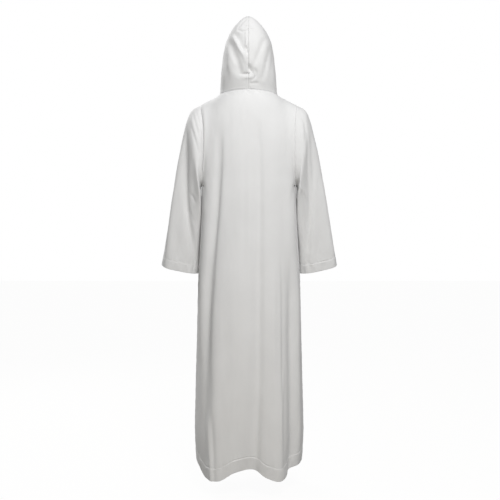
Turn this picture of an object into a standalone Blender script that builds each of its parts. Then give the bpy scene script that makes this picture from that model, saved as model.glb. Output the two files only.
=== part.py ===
"""A long hooded thobe robe in its worn, hollow form, modelled in metres with +Z up.

The front faces -Y and the wearer's left side is at +X. The origin lies between the two
shoulder seams, at the height where they meet the neck: there the wearer's shoulders carry
the robe. Six pieces of cloth make it: a back, a front, two sleeves and two hood halves.

Each piece starts as a flat grid, one cell for each patch of cloth. A surface function forms
the grid, and the sheet is then extruded inwards to the cloth's thickness. Neighbouring
pieces share their points and their thickness direction along each seam, and each then
draws back from the seam by half of the seam gap.
"""

import math

import bmesh
import bpy
from mathutils import Vector
from mathutils.kdtree import KDTree

# Driving sizes, in metres.
CLOTH = 0.0018  # thickness of the cloth wall
TURNED_CLOTH = 0.0030  # thickness where an edge is turned in and stitched
SEAM_GAP = 0.0003
HEM_TURN = 0.050
CUFF_TURN = 0.036
FACE_TURN_DEGREES = 14.0  # width of the hood's turned face edge, round the head
STEP = 0.002  # the turn's raw edge takes this share of a piece's length

NECK_HALF_WIDTH = 0.110
NECK_BACK_DEPTH = 0.088
NECK_FRONT_DEPTH = 0.120
NECK_BACK_RISE = 0.0075
NECK_POINT_DROP = -0.003
NECK_V_DROP = -0.165
SHOULDER_TIP = Vector((0.186, 0.0, -0.043))
ARMPIT = Vector((0.182, 0.0, -0.352))

# Cells of the grids. Pieces that meet use the same numbers along their seam.
SHOULDER_CELLS = 5
NECK_BACK_CELLS = 10
NECK_FRONT_CELLS = 6
ARMHOLE_CELLS = 10  # on the front and on the back
BODY_CELLS = 11  # from the hem turn to the armpit
SLEEVE_CELLS = 12
HOOD_CELLS = 14
SHOULDER_SHARE = 0.3  # of the half panel's columns that end in the shoulder seam

COTTON = (0.80, 0.80, 0.77)


def table(columns, *rows):
    """Rows of numbers as a dict of named columns. The first column is the place along."""
    names = columns.split()
    return {name: [row[i] for row in rows] for i, name in enumerate(names)}


# Plan sections of the body from the hem to the armpit.
BODY = table(
    "height  width  back   front  square",
    (-1.460, 0.195, 0.184, 0.178, 2.10),
    (-1.370, 0.2035, 0.182, 0.176, 2.10),
    (-1.290, 0.208, 0.178, 0.172, 2.10),
    (-1.170, 0.206, 0.171, 0.166, 2.15),
    (-0.940, 0.2002, 0.157, 0.153, 2.20),
    (-0.700, 0.1944, 0.145, 0.142, 2.25),
    (-0.530, 0.1860, 0.139, 0.136, 2.30),
    (-0.352, 0.1820, 0.136, 0.133, 2.35),
)

# Height of the hem round the body: 0 left side, 90 centre back, 180 right side, 270 front.
HEM = table(
    "angle height",
    (-20, -1.404),
    (0, -1.394),
    (20, -1.408),
    (34, -1.440),
    (46, -1.447),
    (60, -1.435),
    (74, -1.408),
    (89, -1.399),
    (99, -1.405),
    (107, -1.423),
    (120, -1.437),
    (130, -1.429),
    (138, -1.418),
    (146, -1.406),
    (158, -1.397),
    (180, -1.391),
    (200, -1.402),
    (222, -1.420),
    (240, -1.424),
    (258, -1.408),
    (278, -1.420),
    (298, -1.410),
    (316, -1.422),
    (340, -1.404),
    (360, -1.394),
    (380, -1.408),
)

# Columns of cells above the armpit, by their share from the armhole (0) to the centre (1).
# Each climbs straight for the lift's share of its height, then heads for its place on the
# top edge: it comes in from reach metres away, on a heading (90 is from straight behind),
# and from drop metres lower than the slope of the shoulder. 1 is the back, -1 the front.
RISE = {
    1: table(
        "share lift  reach  heading drop",
        (0.00, 0.60, 0.070, 88.0, 0.004),
        (0.30, 0.64, 0.078, 52.0, 0.003),
        (0.50, 0.62, 0.062, 58.0, 0.010),
        (0.75, 0.58, 0.044, 76.0, 0.026),
        (1.00, 0.55, 0.034, 90.0, 0.036),
    ),
    -1: table(
        "share lift  reach  heading drop",
        (0.00, 0.60, 0.070, 88.0, 0.004),
        (0.30, 0.64, 0.078, 50.0, 0.004),
        (0.50, 0.58, 0.056, 55.0, 0.026),
        (0.75, 0.42, 0.030, 70.0, 0.050),
        (1.00, 0.35, 0.014, 90.0, 0.060),
    ),
}
CHEST_DEPTH = {1: 0.134, -1: 0.136}
CHEST_EDGE = Vector((0.176, 0.108))  # plan place of the armhole at chest height
CHEST_START = 42.0  # angle of the section at that edge, in degrees
EDGE_REACH = 0.45  # share of a half panel over which the armhole shapes it
FOLD_CLEAR = 0.35  # share over which the armhole seam holds the folds down
SHOULDER_SLOPE = 0.54
SWAY = 0.0025
SWAY_DEPTH = 0.25  # below the origin, where the sway has grown to its full size

# Rings down the sleeve, from the armhole to the cuff. Each ring spans the outer and the
# inner line, and bulges to the back and to the front of the sleeve's middle.
SLEEVE = table(
    "share  outer_x outer_z inner_x inner_z back   front  middle",
    (0.00, 0.1860, -0.0430, 0.1820, -0.3520, 0.090, 0.080, 0.000),
    (0.06, 0.2180, -0.0630, 0.1905, -0.3565, 0.093, 0.083, -0.001),
    (0.12, 0.2345, -0.0990, 0.1948, -0.3690, 0.094, 0.085, -0.005),
    (0.20, 0.2465, -0.1480, 0.1950, -0.3930, 0.092, 0.084, -0.014),
    (0.35, 0.2660, -0.2420, 0.1930, -0.4450, 0.085, 0.080, -0.026),
    (0.55, 0.2895, -0.3680, 0.1925, -0.5150, 0.076, 0.074, -0.035),
    (0.78, 0.3142, -0.5130, 0.1935, -0.6000, 0.067, 0.067, -0.042),
    (1.00, 0.3388, -0.6520, 0.1950, -0.6840, 0.060, 0.061, -0.048),
)
ARMHOLE_INSET = {"back": 0.012, "front": 0.018}
SLEEVE_LENGTH = 0.50  # along its middle, from the armhole to the cuff
CUFF_DROOP = 0.010  # how much lower the back of the cuff hangs than its sides

# Rows of the hood from the neckline (0) to the seam over the head (1). The face angle is
# where a row ends, from its side: at 90 it reaches the centre front, where the two halves
# are joined.
HOOD = table(
    "share  width  back   face   back_z side_z face_z face_angle",
    (0.0000, 0.1100, 0.0880, 0.1200, 0.0045, -0.003, -0.165, 90.0),
    (0.0720, 0.1085, 0.0975, 0.1250, 0.0290, 0.0195, -0.127, 90.0),
    (0.1430, 0.1066, 0.1060, 0.1275, 0.0540, 0.0430, -0.088, 83.0),
    (0.2140, 0.1050, 0.1120, 0.1290, 0.0790, 0.0670, -0.052, 75.0),
    (0.2860, 0.1030, 0.1170, 0.1295, 0.1050, 0.0920, -0.015, 66.0),
    (0.4500, 0.0970, 0.1200, 0.1280, 0.1600, 0.1500, 0.070, 46.0),
    (0.6000, 0.0870, 0.1120, 0.1230, 0.2050, 0.1950, 0.132, 33.0),
    (0.7400, 0.0692, 0.0970, 0.1170, 0.2430, 0.2340, 0.181, 30.0),
    (0.8600, 0.0445, 0.0790, 0.1090, 0.2700, 0.2640, 0.216, 30.0),
    (0.9500, 0.0190, 0.0610, 0.1010, 0.2860, 0.2820, 0.238, 30.0),
    (1.0000, 0.0000, 0.0480, 0.0950, 0.2925, 0.2895, 0.246, 30.0),
)

# Folds. Each is a path over a piece: the place along it, the angle round it, the fold's
# half width in degrees, and how far the cloth stands out (+) or sinks in (-).
FOLD = "along angle spread rise"
BODY_FOLDS = (
    table(  # long trough down the left of the back
        FOLD,
        (-1.46, 38, 9, 0.0),
        (-1.20, 39, 9, -0.002),
        (-1.07, 41, 8, -0.005),
        (-0.93, 42, 7, -0.009),
        (-0.79, 44, 6.5, -0.011),
        (-0.61, 47, 6, -0.009),
        (-0.46, 51, 6, -0.008),
        (-0.24, 55, 6, -0.004),
        (-0.12, 57, 6, 0.0),
    ),
    table(  # left lobe of the back hem, sharp towards the side from the knee down
        FOLD,
        (-1.46, 52, 11, 0.017),
        (-1.20, 54, 10, 0.010),
        (-0.85, 56, 9, 0.004),
        (-0.60, 58, 9, 0.0),
    ),
    table(  # full cloth between that trough and the left side, from armpit to hip
        FOLD,
        (-1.02, 22, 12, 0.0),
        (-0.93, 23, 12, 0.003),
        (-0.79, 26, 12, 0.008),
        (-0.61, 31, 12, 0.010),
        (-0.46, 33, 12, 0.010),
        (-0.30, 34, 12, 0.006),
        (-0.20, 34, 12, 0.0),
    ),
    table(  # soft trough right of the centre back
        FOLD,
        (-1.46, 98, 11, -0.004),
        (-1.25, 101, 11, -0.007),
        (-0.90, 107, 9, -0.007),
        (-0.60, 109, 8, -0.006),
        (-0.40, 107, 7, -0.005),
        (-0.24, 108, 7, -0.003),
        (-0.10, 108, 7, 0.0),
    ),
    table(  # hollow of the back hem between its lobes
        FOLD,
        (-1.46, 90, 14, -0.034),
        (-1.32, 91, 14, -0.020),
        (-1.15, 92, 14, -0.008),
        (-0.95, 94, 14, 0.0),
    ),
    table(  # right lobe of the back hem
        FOLD,
        (-1.46, 121, 11, 0.017),
        (-1.20, 121, 11, 0.009),
        (-0.80, 122, 10, 0.0),
    ),
    table(  # trough at the right of the back
        FOLD,
        (-1.46, 143, 8, -0.019),
        (-1.10, 142, 8, -0.015),
        (-0.80, 141, 7, -0.010),
        (-0.58, 140, 7, 0.0),
    ),
    table(  # lower cloth right of that trough, down to the side
        FOLD,
        (-1.46, 156, 10, -0.004),
        (-1.10, 155, 11, -0.006),
        (-0.80, 154, 11, -0.004),
        (-0.50, 152, 10, 0.0),
    ),
    table(  # right side of the front
        FOLD,
        (-1.46, 222, 9, -0.020),
        (-1.00, 224, 8, -0.015),
        (-0.60, 226, 7, -0.009),
        (-0.30, 229, 7, 0.0),
    ),
    table(  # right lobe of the front hem
        FOLD,
        (-1.46, 241, 9, 0.011),
        (-1.10, 242, 9, 0.005),
        (-0.80, 243, 9, 0.0),
    ),
    table(  # right of the centre front
        FOLD,
        (-1.46, 258, 10, -0.021),
        (-1.20, 259, 10, -0.014),
        (-0.80, 261, 9, -0.007),
        (-0.46, 263, 9, 0.0),
    ),
    table(  # left of the centre front
        FOLD,
        (-1.46, 298, 9, -0.019),
        (-1.20, 297, 9, -0.015),
        (-0.90, 296, 8, -0.011),
        (-0.50, 294, 7, -0.006),
        (-0.26, 292, 7, 0.0),
    ),
    table(  # centre lobe of the front hem
        FOLD,
        (-1.46, 278, 9, 0.012),
        (-1.10, 278, 9, 0.005),
        (-0.80, 278, 9, 0.0),
    ),
    table(  # left side of the front
        FOLD,
        (-1.46, 326, 8, -0.017),
        (-1.10, 324, 8, -0.014),
        (-0.70, 322, 7, -0.009),
        (-0.36, 320, 6, 0.0),
    ),
)
LEFT_SLEEVE_FOLDS = (
    table(  # diagonal trough across the back of the sleeve
        FOLD,
        (0.04, 42, 10, 0.0),
        (0.12, 55, 10, -0.007),
        (0.20, 69, 11, -0.012),
        (0.40, 77, 11, -0.013),
        (0.55, 90, 11, -0.013),
        (0.69, 105, 11, -0.011),
        (0.80, 123, 11, -0.007),
        (0.92, 140, 11, 0.0),
    ),
    table(  # trough down the front of the sleeve
        FOLD,
        (0.08, 300, 10, 0.0),
        (0.25, 292, 11, -0.010),
        (0.60, 276, 11, -0.011),
        (0.90, 262, 11, 0.0),
    ),
)
RIGHT_SLEEVE_FOLDS = (
    table(
        FOLD,
        (0.04, 34, 10, 0.0),
        (0.12, 50, 10, -0.006),
        (0.22, 67, 11, -0.010),
        (0.38, 80, 12, -0.011),
        (0.54, 91, 12, -0.011),
        (0.68, 102, 12, -0.009),
        (0.82, 116, 12, -0.005),
        (0.94, 128, 12, 0.0),
    ),
    table(
        FOLD,
        (0.08, 296, 10, 0.0),
        (0.25, 288, 11, -0.009),
        (0.60, 272, 11, -0.010),
        (0.88, 258, 11, 0.0),
    ),
)
# On the hood the angle is 0 at the centre back seam and grows to the wearer's left.
HOOD_FOLDS = (
    table(  # trough that falls from the upper left to the pocket at the nape
        FOLD,
        (0.12, -8, 9, 0.0),
        (0.17, -2, 11, -0.007),
        (0.23, 7, 11, -0.0085),
        (0.34, 18, 10, -0.0075),
        (0.48, 33, 10, -0.006),
        (0.58, 52, 10, -0.004),
        (0.68, 68, 10, 0.0),
    ),
    table(  # ridge above that trough
        FOLD,
        (0.18, -26, 8, 0.0),
        (0.25, -18, 8, 0.003),
        (0.34, -4, 8, 0.0035),
        (0.48, 12, 8, 0.0035),
        (0.62, 38, 8, 0.0025),
        (0.72, 54, 8, 0.0),
    ),
    table(  # ridge below it
        FOLD,
        (0.10, 12, 9, 0.0),
        (0.18, 20, 9, 0.002),
        (0.30, 33, 9, 0.003),
        (0.44, 50, 9, 0.0025),
        (0.56, 70, 9, 0.0),
    ),
    table(  # left side trough
        FOLD,
        (0.06, 36, 8, 0.0),
        (0.14, 40, 8, -0.003),
        (0.30, 54, 8, -0.0045),
        (0.45, 68, 8, -0.0035),
        (0.56, 78, 8, 0.0),
    ),
    table(  # right side trough
        FOLD,
        (0.08, -44, 9, 0.0),
        (0.20, -50, 9, -0.003),
        (0.45, -66, 9, -0.0025),
        (0.60, -72, 9, 0.0),
    ),
)


def read(rows, column, at):
    """The column's value at a place along the table, on a smooth curve through its rows."""
    places = next(iter(rows.values()))
    values = rows[column]
    if at <= places[0]:
        return values[0]
    if at >= places[-1]:
        return values[-1]
    i = next(k for k in range(1, len(places)) if at <= places[k]) - 1
    span = places[i + 1] - places[i]

    def slope(k):
        before, after = max(k - 1, 0), min(k + 1, len(places) - 1)
        return (values[after] - values[before]) / (places[after] - places[before])

    s = (at - places[i]) / span
    return (
        values[i] * (2 * s**3 - 3 * s**2 + 1)
        + slope(i) * span * (s**3 - 2 * s**2 + s)
        + values[i + 1] * (3 * s**2 - 2 * s**3)
        + slope(i + 1) * span * (s**3 - s**2)
    )


def relief(folds, along, angle):
    """How far all folds together move the cloth out at one place."""
    total = 0.0
    for path in folds:
        if path["along"][0] <= along <= path["along"][-1]:
            off = (angle - read(path, "angle", along) + 180.0) % 360.0 - 180.0
            off /= read(path, "spread", along)
            total += read(path, "rise", along) * math.exp(-off * off)
    return total


def rounded(value, square):
    """A cosine or sine, pushed out so that an ellipse grows squarer as square passes 2."""
    return math.copysign(abs(value) ** (2.0 / square), value)


def neckline(angle):
    """A point of the neck seam: 90 centre back, 0 the left neck point, -90 centre front."""
    across, along = math.cos(math.radians(angle)), math.sin(math.radians(angle))
    if angle >= 0:
        depth = NECK_BACK_DEPTH
        height = NECK_POINT_DROP + NECK_BACK_RISE * along**2
    else:
        depth = NECK_FRONT_DEPTH
        height = NECK_POINT_DROP + (NECK_V_DROP - NECK_POINT_DROP) * (1 - across)
    return Vector((NECK_HALF_WIDTH * across, depth * along, height))


def sleeve_ring(share, angle):
    """A point of the left sleeve: 0 its outer line, 90 its back, 180 its inner line."""
    outer = Vector((read(SLEEVE, "outer_x", share), 0, read(SLEEVE, "outer_z", share)))
    inner = Vector((read(SLEEVE, "inner_x", share), 0, read(SLEEVE, "inner_z", share)))
    side = "back" if angle % 360.0 < 180.0 else "front"
    cosine, sine = math.cos(math.radians(angle)), math.sin(math.radians(angle))
    point = (outer + inner) / 2 + (outer - inner) / 2 * rounded(cosine, 2.2)
    point.y = read(SLEEVE, "middle", share) + read(SLEEVE, side, share) * rounded(sine, 2.2)
    point.x -= ARMHOLE_INSET[side] * sine**2 * max(0.0, 1 - share / 0.2) ** 2
    point.z -= CUFF_DROOP * sine * share**2
    return point


def sleeve_surface(folds, mirror):
    """The surface function of a sleeve, with the right one mirrored from the left."""

    def point(around, down):
        angle = 360.0 * around
        base = sleeve_ring(down, angle)
        middle = (sleeve_ring(down, 0) + sleeve_ring(down, 180)) / 2
        out = (base - middle).normalized()
        base += out * relief(folds, down, angle)
        return swayed(Vector((-base.x if mirror else base.x, base.y, base.z)))

    return point


def body_ring(height, angle):
    """A point of the unfolded body, 0 at the left side seam and 90 at the centre back."""
    cosine, sine = math.cos(math.radians(angle)), math.sin(math.radians(angle))
    square = read(BODY, "square", height)
    width = read(BODY, "width", height)
    depth = read(BODY, "back" if sine >= 0 else "front", height)
    return Vector((width * rounded(cosine, square), depth * rounded(sine, square), height))


def body_folded(base, angle, share=1.0):
    """The point moved out or in by a share of the body's folds."""
    out = Vector((math.cos(math.radians(angle)), math.sin(math.radians(angle)), 0))
    return base + out * share * relief(BODY_FOLDS, base.z, angle % 360.0)


def swayed(point):
    """The robe hangs a touch to the wearer's right below its shoulders."""
    hang = min(1.0, max(0.0, -point.z / SWAY_DEPTH))
    point.x -= SWAY * hang * hang * (3 - 2 * hang)
    return point


def top_edge(side, share):
    """A point of the panel's top edge on the left half: shoulder seam, then neckline."""
    if share <= SHOULDER_SHARE:
        return SHOULDER_TIP.lerp(neckline(0), share / SHOULDER_SHARE)
    return neckline(side * 90.0 * (share - SHOULDER_SHARE) / (1 - SHOULDER_SHARE))


def column_curve(side, share):
    """The four points of the Bezier curve that a column of cells climbs above the armpit."""
    square = read(BODY, "square", ARMPIT.z)
    start = math.radians(CHEST_START)
    turn = start + share * (math.pi / 2 - start)
    across = rounded(math.cos(turn), square) / rounded(math.cos(start), square)
    inward = rounded(math.sin(turn), square) - rounded(math.sin(start), square)
    inward /= 1 - rounded(math.sin(start), square)
    depth = CHEST_EDGE.y + (CHEST_DEPTH[side] - CHEST_EDGE.y) * inward

    low, top = body_ring(ARMPIT.z, side * 90.0 * share), top_edge(side, share)
    height = low.z + read(RISE[side], "lift", share) * (top.z - low.z)
    chest = Vector((CHEST_EDGE.x * across, side * depth, height))
    heading = math.radians(read(RISE[side], "heading", share))
    reach = read(RISE[side], "reach", share)
    over = Vector((reach * math.cos(heading), side * reach * math.sin(heading), 0))
    over.z = -SHOULDER_SLOPE * over.x - read(RISE[side], "drop", share)
    return low, chest, top + over, top


def bezier(points, t):
    weights = ((1 - t) ** 3, 3 * (1 - t) ** 2 * t, 3 * (1 - t) * t**2, t**3)
    return sum((point * weight for point, weight in zip(points, weights)), Vector())


def panel_top(side, share, up):
    """A point of the left half of a panel above the armpit, unfolded.

    share runs from the armhole (0) to the centre line (1), and up from the armpit (0) to
    the top edge (1). side is 1 for the back and -1 for the front. Rows start level with
    those of the armhole and spread out towards the centre line.
    """
    near_edge = max(0.0, 1 - share / EDGE_REACH) ** 2
    base = bezier(column_curve(side, share), up ** (1.4 + 0.45 * near_edge))
    armhole = sleeve_ring(0.0, side * 180.0 * (1 - up))
    return base + (armhole - bezier(column_curve(side, 0.0), up**1.85)) * near_edge


def panel_surface(side):
    """The surface function of the back (1) or the front (-1) panel."""

    def point(across, up):
        if up <= 1.0:
            angle = side * 90.0 * across
            hem = read(HEM, "height", angle % 360.0)
            base = body_ring(hem + (ARMPIT.z - hem) * up, angle)
            return swayed(body_folded(base, angle))
        left = across <= 1.0
        share = across if left else 2.0 - across
        base = panel_top(side, share, up - 1.0)
        # The folds run on, straight up from where they are at the armpit.
        square = read(BODY, "square", ARMPIT.z)
        reach = min(1.0, abs(base.x) / read(BODY, "width", ARMPIT.z))
        angle = math.degrees(math.acos(reach ** (square / 2)))
        angle = side * (angle if left else 180.0 - angle)
        if not left:
            base.x = -base.x
        free = math.sin(math.pi / 2 * min(1.0, share / FOLD_CLEAR)) ** 2
        return swayed(body_folded(base, angle, share=free))

    return point


def hood_surface(half):
    """The surface function of the left (1) or the right (-1) half of the hood."""

    def point(across, up):
        face = min(90.0, read(HOOD, "face_angle", up))
        angle = 90.0 * (1 - 2 * across) if across <= 0.5 else -face * (2 * across - 1)
        cosine, sine = math.cos(math.radians(angle)), math.sin(math.radians(angle))
        width, side_z = read(HOOD, "width", up), read(HOOD, "side_z", up)
        if angle >= 0:
            depth = read(HOOD, "back", up) * sine
            height = side_z + (read(HOOD, "back_z", up) - side_z) * sine**2
        else:
            depth = read(HOOD, "face", up) * sine / math.sin(math.radians(face))
            drop = (1 - cosine) / (1 - math.cos(math.radians(face)))
            height = side_z + (read(HOOD, "face_z", up) - side_z) * drop
        base = Vector((width * cosine, depth, height))
        head = Vector((0.0, 0.0, min(height, 0.12)))
        out = (base - head).normalized()
        base += out * relief(HOOD_FOLDS, up, half * (90.0 - angle))
        return swayed(Vector((half * base.x, base.y, base.z)))

    return point


def evenly(start, end, cells):
    return [start + (end - start) * i / cells for i in range(cells + 1)]


def joined(*runs):
    """Runs of numbers as one, where each run starts with the last number of the one before."""
    return runs[0] + [value for run in runs[1:] for value in run[1:]]


def formed_grid(surface, across, up, wrapped, flipped):
    """A flat grid whose cells are moved onto the surface. Layers keep each point's place."""
    mesh = bmesh.new()
    bmesh.ops.create_grid(
        mesh, x_segments=len(across) - 1, y_segments=len(up) - 1, size=0.5
    )
    column = mesh.verts.layers.int.new("column")
    row = mesh.verts.layers.int.new("row")
    for vert in mesh.verts:
        vert[column] = round((vert.co.x + 0.5) * (len(across) - 1))
        vert[row] = round((vert.co.y + 0.5) * (len(up) - 1))
        if wrapped:
            vert[column] %= len(across) - 1
        vert.co = surface(across[vert[column]], up[vert[row]])
    if wrapped:
        bmesh.ops.remove_doubles(mesh, verts=mesh.verts, dist=1e-6)
    if flipped:
        bmesh.ops.reverse_faces(mesh, faces=mesh.faces)
    mesh.normal_update()
    return mesh


def rank(point):
    """Puts the points along a seam in the same order in all the pieces that share them."""
    return point.x - 1.7 * abs(point.y) + 2.9 * point.z


def mean_normals(pieces):
    """A function that gives the mean normal of the sides that meet at a shared point."""
    points = [(vert.co.copy(), vert.normal.copy()) for p in pieces for vert in p.mesh.verts]
    tree = KDTree(len(points))
    for number, (place, _) in enumerate(points):
        tree.insert(place, number)
    tree.balance()

    def mean_normal(place):
        sides = []
        for _, number, _ in tree.find_range(place, 1e-5):
            normal = points[number][1]
            same = [side for side in sides if side.normalized().dot(normal) > 0.9]
            if same:
                same[0] += normal
            else:
                sides.append(normal.copy())
        return sum((side.normalized() for side in sides), Vector()) / len(sides)

    return mean_normal


class Piece:
    """One cut piece of cloth: its grid, the edges sewn to others, and its turned edges."""

    def __init__(self, name, surface, across, up, seams, turned, wrapped=False, flipped=False):
        self.name, self.seams, self.turned = name, seams, turned
        self.last_column, self.last_row = len(across) - 1, len(up) - 1
        self.mesh = formed_grid(surface, across, up, wrapped, flipped)

    def sewn(self, edge):
        """Whether an edge of the grid lies on a seam."""
        column, row = (self.mesh.verts.layers.int[n] for n in ("column", "row"))
        tests = {
            "first_column": lambda v: v[column] == 0,
            "last_column": lambda v: v[column] == self.last_column,
            "first_row": lambda v: v[row] == 0,
            "last_row": lambda v: v[row] == self.last_row,
            "front_join": lambda v: v[column] == self.last_column and v[row] < 2,
        }
        return edge.is_boundary and any(all(map(tests[s], edge.verts)) for s in self.seams)

    def seam_shift(self, vert):
        """How a point moves within the cloth to stay half of the seam gap off each seam."""
        inward = []
        for edge in filter(self.sewn, vert.link_edges):
            run = (edge.verts[1].co - edge.verts[0].co).normalized()
            step = edge.link_faces[0].calc_center_median() - edge.verts[0].co
            inward.append((step - run * step.dot(run)).normalized())
        if not inward:
            return Vector()
        share = 1 + inward[0].dot(inward[-1]) if len(inward) == 2 else 1
        return sum(inward, Vector()) * SEAM_GAP / 2 / max(share, 0.4)

    def thicken(self, mean_normal):
        """Extrudes the formed grid inwards, against the mean normal at each point."""
        column, row = (self.mesh.verts.layers.int[n] for n in ("column", "row"))
        start, outside, inside = {}, {}, {}
        for vert in self.mesh.verts:
            place = (vert[column], vert[row])
            outward = mean_normal(vert.co)
            thick = TURNED_CLOTH if self.turned(*place) else CLOTH
            thick /= max(0.5, outward.length)
            start[place] = vert.co.copy()
            outside[place] = vert.co + self.seam_shift(vert)
            inside[place] = outside[place] - outward.normalized() * thick
        made = bmesh.ops.extrude_face_region(self.mesh, geom=self.mesh.faces[:])
        inner = {item for item in made["geom"] if isinstance(item, bmesh.types.BMVert)}
        for face in self.mesh.faces[:]:
            outer = [vert for vert in face.verts if vert not in inner]
            if len(outer) == 2:
                # A rim between the two sides. It twists along a seam, so it is split on the
                # same diagonal in both pieces.
                for edge in face.edges:
                    edge.smooth = False
                low, high = sorted(outer, key=lambda v: rank(start[v[column], v[row]]))
                under = set(face.verts) & inner & {e.other_vert(high) for e in high.link_edges}
                bmesh.utils.face_split(face, low, under.pop())
        for vert in self.mesh.verts:
            place = (vert[column], vert[row])
            vert.co = inside[place] if vert in inner else outside[place]

    def build(self, material, collection):
        """Makes an object of the thickened grid."""
        bmesh.ops.recalc_face_normals(self.mesh, faces=self.mesh.faces)
        data = bpy.data.meshes.new(self.name)
        self.mesh.to_mesh(data)
        self.mesh.free()
        data.shade_smooth()
        data.materials.append(material)
        collection.objects.link(bpy.data.objects.new(self.name, data))


def cloth_material(name, tint):
    material = bpy.data.materials.new(name)
    material.use_nodes = True
    shader = material.node_tree.nodes["Principled BSDF"]
    shader.inputs["Base Color"].default_value = [part * tint for part in COTTON] + [1.0]
    shader.inputs["Roughness"].default_value = 0.85
    shader.inputs["Metallic"].default_value = 0.0
    return material


def panel(name, side):
    """The back or front panel, from the left side seam to the right one."""
    neck_cells = NECK_BACK_CELLS if side > 0 else NECK_FRONT_CELLS
    half = joined(
        evenly(0, SHOULDER_SHARE, SHOULDER_CELLS), evenly(SHOULDER_SHARE, 1, neck_cells)
    )
    across = half + [2 - share for share in reversed(half[:-1])]
    turn = HEM_TURN / (ARMPIT.z - read(HEM, "height", 0))
    up = joined(
        [0.0, turn - STEP, turn],
        evenly(turn, 1, BODY_CELLS),
        evenly(1, 2, ARMHOLE_CELLS),
    )
    seams = {"first_column", "last_column", "last_row"}
    return Piece(
        name, panel_surface(side), across, up, seams, lambda i, j: j < 2, flipped=side < 0
    )


def sleeve(name, folds, mirror):
    turn = 1 - CUFF_TURN / SLEEVE_LENGTH
    around = evenly(0, 1, 2 * ARMHOLE_CELLS)
    down = joined(evenly(0, 0.2, 4), evenly(0.2, turn, SLEEVE_CELLS - 5), [turn, turn + STEP, 1])
    turned_row = len(down) - 2
    return Piece(
        name,
        sleeve_surface(folds, mirror),
        around,
        down,
        {"first_row"},
        lambda i, j: j >= turned_row,
        wrapped=True,
        flipped=not mirror,
    )


def hood_half(name, half):
    turn = 1 - FACE_TURN_DEGREES / 180.0
    across = joined(evenly(0, 0.5, NECK_BACK_CELLS), evenly(0.5, 1, NECK_FRONT_CELLS))
    up = evenly(0, 1, HOOD_CELLS)
    seams = {"first_column", "first_row", "last_row", "front_join"}
    turned_column = next(i for i, share in enumerate(across) if share >= turn)
    return Piece(
        name,
        hood_surface(half),
        across,
        up,
        seams,
        lambda i, j: i >= turned_column and j > 1,
        flipped=half > 0,
    )


def main():
    for old in list(bpy.data.objects):
        bpy.data.objects.remove(old)
    robe = bpy.data.collections.new("hooded_thobe_robe")
    bpy.context.scene.collection.children.link(robe)

    pieces = {
        "back_panel": (panel("back_panel", 1), 1.0),
        "front_panel": (panel("front_panel", -1), 1.0),
        "left_sleeve": (sleeve("left_sleeve", LEFT_SLEEVE_FOLDS, False), 0.98),
        "right_sleeve": (sleeve("right_sleeve", RIGHT_SLEEVE_FOLDS, True), 0.98),
        "hood_left": (hood_half("hood_left", 1), 1.02),
        "hood_right": (hood_half("hood_right", -1), 1.02),
    }
    mean_normal = mean_normals([piece for piece, _ in pieces.values()])
    for name, (piece, tint) in pieces.items():
        piece.thicken(mean_normal)
        piece.build(cloth_material(name + "_cotton", tint), robe)


main()
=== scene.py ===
"""The looks of a long hooded robe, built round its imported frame.

Each cut piece of cloth is a fine grid on the form of its CAD solid, with the sleeves drawn
back against the body, the hood flatter behind and some folds deeper. It gets finer creases,
the sink and puckers of its seams, turned and stitched edges, and a rim that closes it into
a thin shell. Rows of stitches are small meshes of their own. Sizes are in metres where
nothing else is said. The front faces -Y, the wearer's left side is at +X, and +Z is up.
"""

import math

import bpy
import numpy as np
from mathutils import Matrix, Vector
from mathutils.kdtree import KDTree


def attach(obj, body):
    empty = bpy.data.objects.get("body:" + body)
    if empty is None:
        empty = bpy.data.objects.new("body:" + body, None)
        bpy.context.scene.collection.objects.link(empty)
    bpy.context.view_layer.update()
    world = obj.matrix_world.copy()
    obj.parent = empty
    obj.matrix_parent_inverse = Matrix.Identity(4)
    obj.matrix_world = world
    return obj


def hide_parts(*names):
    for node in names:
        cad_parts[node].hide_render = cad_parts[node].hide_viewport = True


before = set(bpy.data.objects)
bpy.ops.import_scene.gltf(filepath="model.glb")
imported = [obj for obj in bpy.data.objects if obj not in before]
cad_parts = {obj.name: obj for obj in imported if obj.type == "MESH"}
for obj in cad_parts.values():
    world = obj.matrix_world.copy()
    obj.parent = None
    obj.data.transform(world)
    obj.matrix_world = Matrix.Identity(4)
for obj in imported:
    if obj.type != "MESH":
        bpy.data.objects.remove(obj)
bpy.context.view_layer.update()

# Sizes of the cut and of the form. The neck point is where shoulder seam and neck seam meet.
NECK_HALF_WIDTH = 0.110
NECK_BACK_DEPTH = 0.088
NECK_FRONT_DEPTH = 0.120
NECK_BACK_RISE = 0.0075
NECK_POINT_DROP = -0.003
NECK_V_DROP = -0.165
SHOULDER_TIP = np.array((0.186, 0.0, -0.043))
ARMPIT = np.array((0.182, 0.0, -0.352))
SHOULDER_SHARE = 0.3  # of half a panel's top edge: the shoulder seam, and the rest the neckline


def table(columns, *rows):
    """Rows of numbers as a dict of named columns. The first column is the place along."""
    names = columns.split()
    return {name: [row[i] for row in rows] for i, name in enumerate(names)}


def folds(*paths):
    """Folds of a piece. Each is a path over it, in rows of four numbers.

    These are the place along the piece, the angle round it and the fold's half width in
    degrees, and how many millimetres the cloth stands out (+) or sinks in (-).
    """
    columns = "along angle spread rise"
    return [table(columns, *((*row[:3], row[3] / 1000) for row in path)) for path in paths]


def creases(*paths):
    """Creases, each a path down the view from behind or from the front, in millimetres.

    A row has the place in x and z, the crease's half widths towards the wearer's left and
    right, and how far it stands out (+) or sinks in (-).
    """
    columns = "x z left right rise"
    return [table(columns, *([n / 1000 for n in row] for row in path)) for path in paths]


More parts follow.
